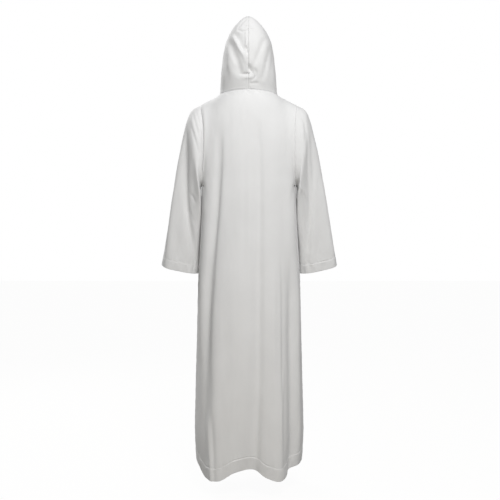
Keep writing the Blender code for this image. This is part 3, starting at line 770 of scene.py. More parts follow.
def nearest_on(path, x, z):
    """Distance to a path in the plane of the view, the side of it, and the place on it."""
    nearest, side, place = np.full(x.shape, 1e9), np.zeros(x.shape), np.zeros(x.shape)
    for i in range(len(path["x"]) - 1):
        dx = path["x"][i + 1] - path["x"][i]
        dz = path["z"][i + 1] - path["z"][i]
        from_x, from_z = x - path["x"][i], z - path["z"][i]
        t = np.clip((from_x * dx + from_z * dz) / (dx * dx + dz * dz), 0.0, 1.0)
        off = np.hypot(from_x - t * dx, from_z - t * dz)
        closer = off < nearest
        nearest = np.where(closer, off, nearest)
        side = np.where(closer, np.sign(from_z * dx - from_x * dz), side)
        place = np.where(closer, i + t, place)
    return nearest, side, place


def crease(cloth, rows, facing):
    """Lays one crease on the part of the cloth that faces back (1) or front (-1)."""
    widest = 3 * (max(rows["left"]) + max(rows["right"]))
    x, z = cloth.base[..., 0], cloth.base[..., 2]
    turned_to = facing * cloth.normals[..., 1]
    near = (x > min(rows["x"]) - widest) & (x < max(rows["x"]) + widest) & (turned_to > 0)
    near &= (z > min(rows["z"]) - widest) & (z < max(rows["z"]) + widest)
    if not near.any():
        return
    path = smooth_path(rows)
    off, side, place = nearest_on(path, x[near], z[near])
    at = np.arange(len(path["x"]))
    left, right, rise = (np.interp(place, at, path[c]) for c in ("left", "right", "rise"))
    rise = rise * np.exp(-((off / np.where(side > 0, left, right)) ** 2))
    cloth.rise[near] += rise * eased(turned_to[near], 0.0, 0.3)


def share_normals(cloths):
    """Gives all pieces the mean of their normals where they meet on a seam."""
    found = [(cloth, tuple(index)) for cloth in cloths for index in np.argwhere(cloth.sewn)]
    tree = KDTree(len(found))
    for number, (cloth, index) in enumerate(found):
        tree.insert(cloth.base[index], number)
    tree.balance()
    means = []
    for cloth, index in found:
        sides = []
        for _, number, _ in tree.find_range(cloth.base[index], 1e-5):
            other, place = found[number]
            normal = other.normals[place]
            same = [k for k, side in enumerate(sides) if unit(side) @ normal > 0.9]
            if same:
                sides[same[0]] = sides[same[0]] + normal
            else:
                sides.append(normal)
        means.append(unit(sum(unit(side) for side in sides)))
    for (cloth, index), mean in zip(found, means):
        cloth.normals[index] = mean


def rim_loops(cloth):
    """The loops of grid places round the piece's edge, in the order of its faces."""
    columns, rows = cloth.rise.shape
    if cloth.around:
        ends = range(columns - 1)
        return [[(i, 0) for i in ends], [(i, rows - 1) for i in reversed(ends)]]
    loop = [(i, 0) for i in range(columns - 1)]
    loop += [(columns - 1, j) for j in range(rows - 1)]
    loop += [(i, rows - 1) for i in range(columns - 1, 0, -1)]
    loop += [(0, j) for j in range(rows - 1, 0, -1)]
    return [loop]


def closed_mesh(cloth):
    """Vertices, faces and the cloth's map: outside, inside, and a rim that joins them."""
    columns, rows = cloth.rise.shape
    used = columns - 1 if cloth.around else columns
    number = np.arange(used * rows).reshape(used, rows)
    if cloth.around:
        number = np.concatenate([number, number[:1]])
    count = used * rows
    corners = (number[:-1, :-1], number[1:, :-1], number[1:, 1:], number[:-1, 1:])
    quads = np.stack(corners, axis=-1).reshape(-1, 4)
    spots = np.stack([cloth.width_run, cloth.run_up], axis=-1)[:used].reshape(-1, 2)
    verts = [cloth.outside[:used].reshape(-1, 3), cloth.inside[:used].reshape(-1, 3)]
    faces, maps = [quads, quads[:, ::-1] + count], [spots, spots]

    total, off_edge = 2 * count, cloth.off_edge()
    for loop in rim_loops(cloth):
        i, j = np.array(loop).T
        first = number[i, j]
        middle = (cloth.outside[i, j] + cloth.inside[i, j]) / 2
        half = cloth.outside[i, j] - middle
        bulge = off_edge[i, j] * np.linalg.norm(half, axis=-1, keepdims=True)
        rings = [first]
        for turn in np.radians(RIM_TURN):
            verts.append(middle + half * math.cos(turn) + bulge * math.sin(turn))
            maps.append(spots[first])
            rings.append(np.arange(total, total + len(loop)))
            total += len(loop)
        rings.append(first + count)
        for outer, inner in zip(rings[:-1], rings[1:]):
            ring = (np.roll(outer, -1), outer, inner, np.roll(inner, -1))
            faces.append(np.stack(ring, axis=-1))
    faces = np.concatenate(faces)
    if cloth.flipped:
        faces = faces[:, ::-1]
    return np.concatenate(verts), faces, np.concatenate(maps)


def map_cloth(data, cloth, faces, spots):
    """Lays the cloth's own width and length, in metres, over the mesh as a UV map."""
    places = spots[faces]
    if cloth.around:
        # Faces that close the tube take the far end of the width.
        wraps = np.ptp(places[..., 0], axis=1, keepdims=True) > cloth.girth / 2
        places[..., 0] += cloth.girth * (wraps & (places[..., 0] < cloth.girth / 2))
    layer = data.uv_layers.new(name=CLOTH_MAP)
    layer.uv.foreach_set("vector", places.astype(np.float32).ravel())


def add_piece(name, verts, faces, material):
    """A smooth mesh as an object of the scene."""
    data = bpy.data.meshes.new(name)
    data.from_pydata(verts.tolist(), [], faces)
    data.shade_smooth()
    data.materials.append(material)
    piece = bpy.data.objects.new(name, data)
    bpy.context.scene.collection.objects.link(piece)
    return piece


def cloth_piece(cloth, material):
    verts, faces, spots = closed_mesh(cloth)
    piece = add_piece(cloth.name, verts, faces.tolist(), material)
    map_cloth(piece.data, cloth, faces, spots)
    return piece


# --- stitches ---------------------------------------------------------------------------------

STITCH_PITCH = 0.0034
STITCH_LENGTH = 0.0025
THREAD = 0.00026  # radius of the sewing thread
STITCH_SIDES = 6


def stitch_row(name, path, normals, material):
    """A row of stitches along a path over the cloth, each a short thread with round ends."""
    run = lengths(path, 0)
    centres = np.arange(STITCH_PITCH, run[-1] - STITCH_PITCH / 2, STITCH_PITCH)

    def along(values, at):
        return np.stack([np.interp(at, run, values[:, k]) for k in range(3)], axis=-1)

    up = unit(along(normals, centres))
    ahead = along(path, centres + STITCH_LENGTH / 2) - along(path, centres - STITCH_LENGTH / 2)
    ahead = unit(ahead - up * (ahead * up).sum(-1, keepdims=True))
    side = np.cross(up, ahead)
    middle = along(path, centres) + up * THREAD * 0.35

    turns = np.radians(np.arange(STITCH_SIDES) * 360.0 / STITCH_SIDES)
    ends = STITCH_LENGTH / 2
    profile = ((-ends, 0.4), (THREAD - ends, 1.0), (ends - THREAD, 1.0), (ends, 0.4))
    rings = []
    for place, width in profile:
        sink = up * (width - 1) * THREAD
        for turn in turns:
            out = side * math.cos(turn) + up * math.sin(turn)
            rings.append(middle + sink + ahead * place + out * THREAD * width)
    verts = np.stack(rings, axis=1).reshape(-1, 3)
    sides, per_stitch = STITCH_SIDES, STITCH_SIDES * len(profile)
    faces = [tuple(range(sides - 1, -1, -1)), tuple(range(per_stitch - sides, per_stitch))]
    for ring in range(len(profile) - 1):
        for k in range(sides):
            low, after = ring * sides + k, ring * sides + (k + 1) % sides
            faces.append((low, after, after + sides, low + sides))
    faces = [
        tuple(stitch * per_stitch + corner for corner in face)
        for stitch in range(len(centres))
        for face in faces
    ]
    return add_piece(name, verts, faces, material)


# --- creases ----------------------------------------------------------------------------------

# How deep the armhole seams sink (+) or stand out (-) at distances below the origin, and the
# half width of that.
LEFT_ARMHOLE = table(
    "down depth",
    (0.03, 0), (0.06, 0.004), (0.11, 0.0072), (0.2, 0.0072), (0.28, 0.002), (0.33, -0.002),
    (0.36, 0),
)
RIGHT_ARMHOLE = table(
    "down depth",
    (0.05, 0), (0.12, 0.0004), (0.2, -0.001), (0.29, -0.005), (0.34, -0.006), (0.36, 0),
)
LEFT_ARMHOLE_SPREAD, RIGHT_ARMHOLE_SPREAD = 0.009, 0.014

BACK_CREASES = creases(
    (  # steep right side of the long left trough
        (99, -140, 18, 6, 0), (101, -265, 20, 6, -2.8), (109, -402, 22, 6, -3.4),
        (122, -549, 24, 7, -3.6), (131, -696, 26, 8, -3.2), (142, -855, 26, 8, -3),
        (145, -972, 26, 8, -2.6), (143, -1127, 24, 9, -1.4), (142, -1240, 20, 9, 0),
    ),
    (  # pleat that ends in the hem left of the left lobe
        (149, -1180, 8, 5, 0), (147, -1250, 9, 5, 4), (144, -1320, 9, 5, 3.6),
        (138, -1389, 9, 5, 3.6), (136, -1440, 9, 5, 3.8),
    ),
    (  # and the sharp line that runs down beside it
        (136, -1190, 5, 8, 0), (133, -1260, 5, 8, -3), (130, -1340, 5, 9, -4.2),
        (126, -1440, 5, 9, -3.4),
    ),
    (  # trough right of the centre
        (-38, -120, 16, 9, 0), (-40, -190, 18, 10, -3), (-41, -302, 24, 11, -5.4),
        (-41, -449, 26, 12, -6.4), (-39, -751, 28, 13, -8.6), (-38, -939, 28, 14, -9.6),
        (-35, -1101, 28, 15, -9.6), (-30, -1263, 28, 15, -8.6), (-24, -1400, 26, 15, -6),
    ),
    (  # faint one down the centre
        (16, -190, 14, 10, 0), (13, -320, 14, 10, -1.4), (13, -480, 14, 10, -1.8),
        (14, -620, 14, 10, -1.2), (16, -800, 14, 10, 0),
    ),
    (  # ridge right of it, from the waist to the knee
        (-92, -640, 12, 10, 0), (-93, -760, 12, 10, 2.4), (-93, -891, 12, 10, 2.8),
        (-94, -1050, 12, 10, 1.8), (-96, -1180, 12, 10, 0),
    ),
    (  # edge where the back turns to the right side
        (-122, -600, 6, 18, 0), (-125, -720, 6, 20, -3.4), (-127, -931, 6, 20, -4.8),
        (-130, -1153, 6, 20, -5), (-134, -1394, 7, 18, -4),
    ),
    (  # narrow ridge on that edge
        (-132, -1000, 5, 5, 0), (-131, -1080, 5, 5, 2.2), (-127, -1170, 5, 5, 2.4),
        (-121, -1300, 6, 6, 0),
    ),
    (  # short drag line from the left armpit
        (176, -335, 6, 6, 0), (168, -362, 8, 7, -2.2), (160, -405, 10, 8, -1.2),
        (155, -460, 10, 8, 0),
    ),
    (  # and from the right one
        (-180, -330, 6, 6, 0), (-172, -362, 7, 8, -2.6), (-163, -410, 8, 10, -1.4),
        (-157, -470, 8, 10, 0),
    ),
)
LEFT_SLEEVE_CREASES = creases(
    (  # steep inner side of the long trough
        (230, -100, 12, 6, 0), (237, -150, 14, 7, -2.8), (239, -220, 16, 8, -4),
        (239, -320, 18, 9, -4.6), (237, -410, 18, 9, -4.6), (230, -490, 18, 10, -4),
        (219, -550, 16, 10, -3), (209, -600, 14, 10, -1.6), (202, -650, 12, 10, 0),
    ),
    (  # gathers at the top of the armhole
        (214, -68, 5, 3, 0), (207, -90, 5, 3, -2.6), (198, -125, 5, 3, -3.2),
        (187, -165, 5, 3, -2), (180, -190, 4, 3, 0),
    ),
    (
        (202, -62, 4, 3, 0), (195, -84, 4, 3, -2.8), (188, -110, 4, 3, -2.8),
        (181, -138, 4, 3, 0),
    ),
    (
        (222, -112, 6, 4, 0), (212, -142, 6, 4, -2), (200, -182, 6, 4, -2.8),
        (189, -222, 5, 4, -1.6), (183, -250, 5, 4, 0),
    ),
    (  # small pleat on the outer side, below the shoulder
        (213, -62, 3, 4, 0), (219, -85, 3, 4, -1.8), (223, -110, 4, 5, -1.6),
        (226, -140, 4, 5, 0),
    ),
    (  # drag lines at the inner elbow
        (226, -372, 6, 5, 0), (214, -392, 6, 5, -1.8), (203, -412, 6, 5, -1.4),
        (197, -428, 6, 5, 0),
    ),
    (
        (232, -440, 7, 6, 0), (220, -462, 7, 6, -1.4), (208, -486, 7, 6, -1.2),
        (201, -505, 7, 6, 0),
    ),
    (  # soft fold down the outer side
        (272, -440, 12, 10, 0), (276, -520, 13, 11, -1.6), (280, -590, 13, 11, -1.6),
        (284, -650, 13, 11, 0),
    ),
    (  # folds that stand up from the cuff at its inner corner
        (214, -690, 6, 5, -1.6), (210, -655, 6, 5, -2.4), (207, -625, 6, 5, -1.4),
        (205, -590, 6, 5, 0),
    ),
    (
        (236, -690, 7, 6, -1), (232, -660, 7, 6, -1.8), (230, -630, 7, 6, -1),
        (229, -600, 7, 6, 0),
    ),
)
RIGHT_SLEEVE_CREASES = creases(
    (  # long trough, softer than the left one
        (-226, -80, 8, 10, 0), (-238, -160, 10, 10, -2), (-244, -260, 12, 10, -3),
        (-244, -360, 14, 10, -3.6), (-240, -460, 14, 11, -3.4), (-230, -540, 12, 11, -2),
        (-218, -620, 10, 11, 0),
    ),
    (  # small wrinkles below the shoulder
        (-196, -78, 4, 4, 0), (-203, -103, 4, 4, -1.8), (-213, -135, 4, 5, -1.4),
        (-219, -160, 4, 5, 0),
    ),
    (
        (-209, -84, 4, 4, 0), (-213, -118, 4, 4, -1.5), (-212, -170, 4, 5, -1.6),
        (-208, -210, 4, 5, 0),
    ),
    (
        (-191, -128, 4, 4, 0), (-196, -163, 4, 4, -1.5), (-204, -200, 5, 5, -1.2),
        (-210, -230, 5, 5, 0),
    ),
    (  # light fold that points at the armpit
        (-222, -405, 8, 7, 0), (-210, -384, 7, 6, 2), (-198, -366, 6, 5, 2.8),
        (-190, -354, 4, 4, 0),
    ),
    (  # soft folds down the forearm
        (-258, -440, 11, 11, 0), (-262, -520, 11, 11, -1.3), (-268, -600, 11, 11, -1.5),
        (-276, -670, 11, 11, 0),
    ),
    (
        (-212, -430, 6, 7, 0), (-217, -480, 6, 7, -1.2), (-222, -545, 6, 7, -1.2),
        (-226, -610, 6, 7, 0),
    ),
    (  # folds that stand up from the cuff at its inner corner
        (-214, -692, 6, 6, -1.8), (-212, -662, 6, 6, -2.6), (-213, -632, 6, 6, -1.4),
        (-215, -600, 6, 6, 0),
    ),
    (
        (-238, -690, 7, 7, -1.2), (-234, -664, 7, 7, -2), (-228, -640, 7, 7, -1),
        (-222, -615, 7, 7, 0),
    ),
)
FRONT_CREASES = creases(
    (  # trough from the left breast down to the hem
        (108, -200, 10, 14, 0), (102, -330, 10, 18, -3.6), (97, -520, 11, 21, -5),
        (100, -760, 12, 23, -5.6), (108, -1020, 13, 24, -5.4), (112, -1270, 12, 22, -3.2),
        (114, -1400, 12, 20, 0),
    ),
    (  # soft trough beside the centre, from under the point of the neck
        (10, -190, 8, 8, 0), (16, -280, 10, 12, -3.2), (24, -460, 12, 16, -4.2),
        (34, -720, 14, 20, -5.4), (42, -1000, 16, 22, -6.8), (44, -1260, 16, 22, -6.6),
        (42, -1410, 15, 20, -4.4),
    ),
    (  # narrow ridge between them, from the hip to the knee
        (72, -640, 10, 11, 0), (70, -790, 10, 11, 3.2), (72, -930, 10, 12, 3.8),
        (77, -1090, 10, 12, 2), (80, -1180, 10, 11, 0),
    ),
    (  # long trough down the right of the front
        (-86, -240, 14, 8, 0), (-90, -380, 18, 8, -3), (-94, -600, 22, 9, -5),
        (-98, -860, 24, 9, -6), (-104, -1120, 24, 10, -4.4), (-108, -1310, 22, 10, 0),
    ),
    (  # wide soft one right of the centre
        (-30, -420, 14, 12, 0), (-32, -600, 16, 14, -3), (-36, -860, 18, 16, -5.6),
        (-40, -1130, 18, 18, -7.6), (-42, -1390, 16, 18, -5.4),
    ),
    (  # drag lines from the shoulders to the point of the neck
        (140, -90, 6, 8, 0), (112, -142, 7, 10, -2.8), (80, -206, 8, 11, -3.2),
        (48, -256, 8, 10, -2), (30, -280, 7, 9, 0),
    ),
    (
        (-146, -108, 8, 6, 0), (-120, -168, 10, 7, -2.4), (-90, -236, 11, 8, -3),
        (-64, -300, 10, 8, 0),
    ),
    (  # and from the armpits
        (172, -345, 6, 6, 0), (158, -372, 7, 7, -3.8), (138, -402, 8, 8, -3.2),
        (118, -428, 9, 8, 0),
    ),
    (
        (170, -380, 6, 6, 0), (162, -420, 8, 7, -3.2), (154, -470, 9, 8, -2.4),
        (149, -530, 9, 8, 0),
    ),
    (
        (-174, -348, 6, 6, 0), (-160, -380, 7, 8, -4.2), (-145, -424, 8, 9, -2.8),
        (-134, -470, 8, 9, 0),
    ),
    (  # turn of the front to its left side, above the hem
        (146, -900, 18, 6, 0), (149, -1030, 18, 6, -4.4), (150, -1190, 18, 7, -6.6),
        (151, -1400, 17, 7, -5),
    ),
    (  # pleat that ends in the hem on the right
        (-140, -1140, 6, 9, 0), (-143, -1230, 6, 10, 4.8), (-142, -1320, 6, 10, 6.8),
        (-140, -1410, 6, 10, 5.6),
    ),
)
LEFT_SLEEVE_FRONT_CREASES = creases(
    (  # trough that falls from the shoulder to the inner elbow
        (228, -100, 10, 7, 0), (238, -180, 13, 8, -2.2), (240, -280, 15, 9, -3.2),
        (230, -380, 15, 9, -3), (214, -460, 13, 9, -1.6), (204, -510, 12, 8, 0),
    ),
    (  # gathers at the armhole
        (206, -82, 4, 4, 0), (202, -112, 4, 4, -2), (194, -156, 4, 4, -1.8), (188, -190, 4, 4, 0),
    ),
    (
        (224, -196, 6, 5, 0), (212, -236, 6, 5, -1.8), (200, -282, 6, 5, -2),
        (190, -318, 5, 5, 0),
    ),
    (  # breaks of the cloth in the crook of the elbow
        (276, -330, 8, 7, 0), (258, -358, 10, 9, -1.4), (238, -384, 11, 9, -2),
        (218, -402, 10, 8, -1.4), (200, -412, 8, 7, 0),
    ),
    (
        (262, -424, 9, 8, 0), (244, -446, 11, 9, -1.4), (226, -474, 11, 9, -1.4),
        (212, -506, 9, 8, 0),
    ),
    (  # soft folds down the forearm
        (252, -470, 11, 10, 0), (256, -540, 12, 10, -1.8), (258, -610, 12, 10, -2),
        (262, -680, 11, 9, -1),
    ),
    (
        (222, -540, 7, 8, 0), (220, -600, 7, 8, -1.6), (222, -660, 7, 8, -2),
        (224, -690, 7, 8, -1.4),
    ),
)
RIGHT_SLEEVE_FRONT_CREASES = creases(
    (  # trough that falls from the shoulder, farther out than the left one
        (-226, -120, 7, 10, 0), (-242, -220, 8, 14, -2), (-250, -330, 9, 15, -2.8),
        (-246, -440, 9, 14, -2.2), (-238, -520, 9, 12, 0),
    ),
    (  # gathers at the armhole
        (-210, -96, 4, 4, 0), (-204, -134, 4, 4, -1.8), (-196, -180, 4, 5, -1.6),
        (-190, -216, 4, 4, 0),
    ),
    (
        (-222, -250, 6, 6, 0), (-208, -290, 6, 6, -2.2), (-194, -334, 5, 6, -1.4),
        (-188, -356, 5, 5, 0),
    ),
    (  # breaks of the cloth in the crook of the elbow
        (-196, -398, 7, 8, 0), (-216, -392, 8, 10, -1.4), (-238, -374, 9, 11, -2),
        (-258, -346, 9, 10, -1.4), (-274, -312, 7, 8, 0),
    ),
    (
        (-206, -478, 8, 9, 0), (-224, -462, 9, 11, -1.4), (-246, -436, 9, 11, -1.6),
        (-266, -402, 8, 9, 0),
    ),
    (  # soft folds down the forearm
        (-266, -520, 10, 11, 0), (-268, -580, 10, 12, -1.8), (-274, -640, 10, 12, -1.8),
        (-280, -690, 10, 11, -1),
    ),
    (
        (-226, -530, 8, 8, 0), (-232, -600, 8, 8, -1.8), (-234, -660, 8, 8, -2.2),
        (-236, -690, 8, 8, -1.2),
    ),
)
HOOD_CREASES = creases(
    (  # steeper upper side of the main trough, down to the pocket at the nape
        (74, 196, 12, 9, 0), (66, 176, 13, 10, -1.4), (53, 144, 13, 10, -2),
        (42, 115, 13, 10, -2.4), (34, 82, 12, 10, -3), (29, 66, 10, 9, -2.6), (26, 54, 8, 8, 0),
    ),
    (  # the pocket
        (2, 94, 4, 8, 0), (-1, 84, 4, 9, -5.6), (-4, 73, 4, 10, -9.2), (-11, 65, 4, 8, -7),
        (-18, 60, 4, 6, 0),
    ),
    (  # its lower edge
        (36, 62, 4, 5, 0), (26, 59, 4, 5, -2.6), (12, 57.5, 4, 5, -4.4), (-2, 57.5, 4, 5, -4.4),
        (-13, 59, 4, 5, -2.6), (-21, 63, 4, 5, 0),
    ),
    (  # fold that turns up round its right end
        (-21, 80, 3, 4, 0), (-26, 69, 3, 4, -3.4), (-28, 56, 3, 4, -4), (-24, 45, 3, 4, -3.4),
        (-14, 36, 3, 4, 0),
    ),
    (  # roll of cloth below the pocket
        (32, 47, 5, 6, 0), (16, 45, 5, 6, 2.2), (0, 45, 5, 6, 2.8), (-12, 47, 5, 6, 2),
        (-18, 50, 5, 6, 0),
    ),
    (  # ridge over the main trough
        (62, 208, 5, 5, 0), (56, 194, 5, 4, 1.8), (44, 170, 5, 4, 2.4), (30, 142, 5, 4, 2.8),
        (19, 125, 5, 5, 2.6), (12, 105, 5, 5, 2), (6, 92, 5, 5, 0),
    ),
    (  # hollow between that ridge and the centre seam
        (56, 216, 5, 10, 0), (49, 206, 5, 13, -3.4), (38, 186, 5, 15, -5.4),
        (28, 162, 5, 12, -5.4), (20, 146, 4, 9, -4.4), (13, 134, 4, 6, 0),
    ),
    (  # welt of the centre seam where it stands out
        (8.5, 228, 3, 3, 0), (9.5, 214, 3, 3, 2.6), (9, 186, 3, 3, 3.6), (8.5, 160, 3, 3, 2.8),
        (7, 150, 3, 3, 0),
    ),
    (  # nick where the seam turns in
        (7, 162, 3.5, 3.5, 0), (7, 152, 3.5, 3.5, -5.6), (6, 141, 3.5, 3.5, -6.6),
        (4, 131, 3.5, 3.5, -4), (3, 120, 3, 3, 0),
    ),
    (  # bright ridge down the left side
        (78, 192, 7, 9, 0), (82, 172, 7, 9, 1), (69, 134, 8, 11, 1.8), (52, 96, 8, 11, 1.8),
        (34, 60, 8, 10, 0),
    ),
    (  # second trough, close to the left edge
        (87, 176, 8, 4, 0), (88, 158, 9, 4, -0.8), (84, 104, 9, 4, -1.4), (78, 70, 9, 5, -1.2),
        (70, 36, 9, 6, 0),
    ),
    (  # soft folds on the right side
        (-60, 200, 9, 9, 0), (-56, 180, 10, 9, -3), (-38, 130, 10, 9, -4.2), (-26, 100, 8, 9, -3),
        (-22, 84, 7, 8, 0),
    ),
    (
        (-86, 176, 8, 6, 0), (-79, 150, 9, 7, -2.6), (-70, 104, 10, 8, -3.8),
        (-58, 56, 10, 8, -2.8), (-50, 32, 9, 7, 0),
    ),
    (  # cloth folded over under the tip
        (44, 222, 4, 4, 0), (34, 222, 4, 4, -3.4), (20, 216, 4, 4, -3.6), (4, 219, 4, 4, -3.4),
        (-12, 224, 4, 4, -3.4), (-34, 222, 4, 4, 0),
    ),
    (
        (24, 232, 4, 4, 0), (12, 237, 4, 4, -1.4), (-2, 233, 4, 4, -1.8), (-14, 237, 4, 4, 0),
    ),
    (  # edge of the turned band, folded over the crown
        (40, 224, 3, 4, 0), (35, 238, 3, 4, -2.4), (22, 256, 3, 4, -2.8), (11, 265, 3, 4, -1.8),
        (3, 271, 3, 3, 0),
    ),
    (  # soft fold just above the neck seam
        (2, 26, 5, 5, 0), (-10, 25, 5, 5, -1.8), (-26, 25.5, 5, 5, -2.4), (-44, 28, 5, 5, 0),
    ),
)


# --- the pieces -------------------------------------------------------------------------------


def neck_run(cells, length):
    """Places along a quarter of the neck seam, from the neck point (0) to the centre (1)."""
    return with_lines(evenly(0, 1, cells), beside(1, -1, length))


def armhole_run():
    """Places up an armhole, from the armpit (0) to the shoulder (1)."""
    lines = beside(0, 1, ARMHOLE_LENGTH) + beside(1, -1, ARMHOLE_LENGTH)
    lines += [1 - line for line in band(0.0085, 0.0165, 0.0013, ARMHOLE_LENGTH)]
    return with_lines(evenly(0, 1, ARMHOLE_CELLS), lines)


def panel(name, side):
    """The back or front panel, from the left side seam to the right one."""
    neck = neck_run(*(BACK_NECK_RUN if side > 0 else FRONT_NECK_RUN))
    shoulder = with_lines(evenly(0, 1, SHOULDER_CELLS), beside(0, 1, SHOULDER_LENGTH))
    half = [SHOULDER_SHARE * place for place in shoulder]
    half += [SHOULDER_SHARE + (1 - SHOULDER_SHARE) * place for place in neck[1:]]
    across = half + [2 - share for share in reversed(half[:-1])]
    hem = band(0.001, 0.004, 0.001, BODY_LENGTH) + band(0.040, 0.053, 0.0011, BODY_LENGTH)
    up = with_lines(evenly(0, 1, BODY_CELLS), hem) + [1 + place for place in armhole_run()[1:]]
    seams = {"first_column": (0, 2), "last_column": (0, 2), "last_row": (0, 2)}
    surface = panel_surface(side)
    return Cloth(name, surface, across, up, seams, "first_row", flipped=side < 0, grain=1.0)


def sleeve(name, paths, mirror):
    places = armhole_run()
    around = [(1 - place) / 2 for place in reversed(places)]
    around += [1 - (1 - place) / 2 for place in places[1:]]
    cuff = band(0.001, 0.003, 0.001, SLEEVE_LENGTH) + band(0.024, 0.054, 0.0013, SLEEVE_LENGTH)
    lines = beside(0, 1, SLEEVE_LENGTH) + [1 - place for place in cuff]
    down = with_lines(evenly(0, 1, SLEEVE_CELLS), lines)
    surface = sleeve_surface(paths, mirror)
    seams = {"first_row": (0, 1)}
    return Cloth(name, surface, around, down, seams, "last_row", around=True, flipped=not mirror)


def hood_half(name, half):
    back, front = neck_run(*BACK_NECK_RUN), neck_run(*FRONT_NECK_RUN)
    across = [(1 - place) / 2 for place in reversed(back)] + [(1 + p) / 2 for p in front[1:]]
    lines = beside(0, 1, HOOD_LENGTH) + beside(1, -1, HOOD_LENGTH) + [FRONT_JOIN]
    up = with_lines(evenly(0, 1, HOOD_CELLS), lines)
    seams = {
        "first_column": (0, 1),
        "last_column": (0, FRONT_JOIN),
        "first_row": (0, 1),
        "last_row": (0, 1),
    }
    surface = hood_surface(half)
    return Cloth(name, surface, across, up, seams, "last_column", flipped=half > 0)


def make_cloths():
    return {
        "back": panel("back_cloth", 1),
        "front": panel("front_cloth", -1),
        "left_sleeve": sleeve("left_sleeve_cloth", LEFT_SLEEVE_FOLDS, False),
        "right_sleeve": sleeve("right_sleeve_cloth", RIGHT_SLEEVE_FOLDS, True),
        "hood_left": hood_half("hood_left_cloth", 1),
        "hood_right": hood_half("hood_right_cloth", -1),
    }


# Which creases each piece has, facing back (1) or front (-1).
CREASED = (
    ("back", BACK_CREASES, 1),
    ("left_sleeve", LEFT_SLEEVE_CREASES, 1),
    ("right_sleeve", RIGHT_SLEEVE_CREASES, 1),
    ("hood_left", HOOD_CREASES, 1),
    ("hood_right", HOOD_CREASES, 1),
    ("front", FRONT_CREASES, -1),
    ("left_sleeve", LEFT_SLEEVE_FRONT_CREASES, -1),
    ("right_sleeve", RIGHT_SLEEVE_FRONT_CREASES, -1),
)

# The faint unevenness of each piece: its height, width, length and seed. Then the width and
# the stitches of its turned edge, with a seed.
FINISH = {
    "back": (0.0011, 0.060, 0.260, 11, HEM_TURN, HEM_STITCH, 101),
    "front": (0.0011, 0.060, 0.260, 23, HEM_TURN, HEM_STITCH, 113),
    "left_sleeve": (0.0010, 0.045, 0.120, 37, CUFF_TURN, CUFF_STITCH, 127),
    "right_sleeve": (0.0010, 0.045, 0.120, 41, CUFF_TURN, CUFF_STITCH, 131),
    "hood_left": (0.0007, 0.040, 0.070, 53, FACE_TURN, FACE_STITCH, 149),
    "hood_right": (0.0007, 0.040, 0.070, 59, FACE_TURN, FACE_STITCH, 157),
}
NECK_SEEDS = {"back": 163, "front": 173}
SEAM_SEED = 191  # of the first piece, and one more for each next one


def shape_cloths(cloths):
    """The creases, seams, turned edges and faint unevenness of every piece."""
    share_normals(cloths.values())
    for name, paths, facing in CREASED:
        for rows in paths:
            crease(cloths[name], rows, facing)
    for name, values in FINISH.items():
        soften(cloths[name], *values[:4])
        turn_edge(cloths[name], *values[4:])
    for name, seed in NECK_SEEDS.items():
        topstitch_neck(cloths[name], seed)
    for facing, name in ((1, "back"), (-1, "front")):
        for owner, edge in ((name, "first_column"), ("left_sleeve", "first_row")):
            valley(cloths[owner], edge, LEFT_ARMHOLE, facing, LEFT_ARMHOLE_SPREAD)
        for owner, edge in ((name, "last_column"), ("right_sleeve", "first_row")):
            valley(cloths[owner], edge, RIGHT_ARMHOLE, facing, RIGHT_ARMHOLE_SPREAD)
    for number, cloth in enumerate(cloths.values()):
        sew_seams(cloth, SEAM_SEED + number)
        cloth.form()


def topstitch_neck(cloth, seed):
    """Holds the neck seam's allowance down, below the seam on the panels."""
    distance = cloth.away("last_row")
    across = cloth.place[0]
    on_neck = eased(np.minimum(across, 2 - across), SHOULDER_SHARE, SHOULDER_SHARE + 0.02)
    cloth.thick += 0.5 * CLOTH * (1 - eased(distance, NECK_STITCH, NECK_STITCH + 0.001)) * on_neck
    stitch_dent(cloth, distance - NECK_STITCH, cloth.run_across, on_neck, seed)


def sew_rows(cloths, thread):
    """Every row of stitches, with the piece of cloth that it is sewn to."""
    neck = (SHOULDER_SHARE, 2 - SHOULDER_SHARE)
    rows = (
        ("back", "hem_stitches_back", "first_row", HEM_STITCH, (0, 2)),
        ("front", "hem_stitches_front", "first_row", HEM_STITCH, (0, 2)),
        ("back", "neck_stitches_back", "last_row", NECK_STITCH, neck),
        ("front", "neck_stitches_front", "last_row", NECK_STITCH, neck),
        ("left_sleeve", "cuff_stitches_left", "last_row", CUFF_STITCH, (0, 1)),
        ("right_sleeve", "cuff_stitches_right", "last_row", CUFF_STITCH, (0, 1)),
        ("hood_left", "face_stitches_left", "last_column", FACE_STITCH, (FRONT_JOIN, 1)),
        ("hood_right", "face_stitches_right", "last_column", FACE_STITCH, (FRONT_JOIN, 1)),
    )
    sewn = {name: [] for name in cloths}
    for owner, name, edge, distance, (low, high) in rows:
        path, normals = cloths[owner].line(edge, distance, low, high)
        sewn[owner].append(stitch_row(name, path, normals, thread))
    return sewn


# --- materials --------------------------------------------------------------------------------


def fill(tree, node, values):
    """Sets a node's sockets to the values, and links those that are sockets themselves."""
    for key, value in dict(values).items():
        if isinstance(value, bpy.types.NodeSocket):
            tree.links.new(value, node.inputs[key])
        else:
            node.inputs[key].default_value = value


def add_node(tree, kind, values=(), **settings):
    made = tree.nodes.new(kind)
    for key, value in settings.items():
        setattr(made, key, value)
    fill(tree, made, values)
    return made


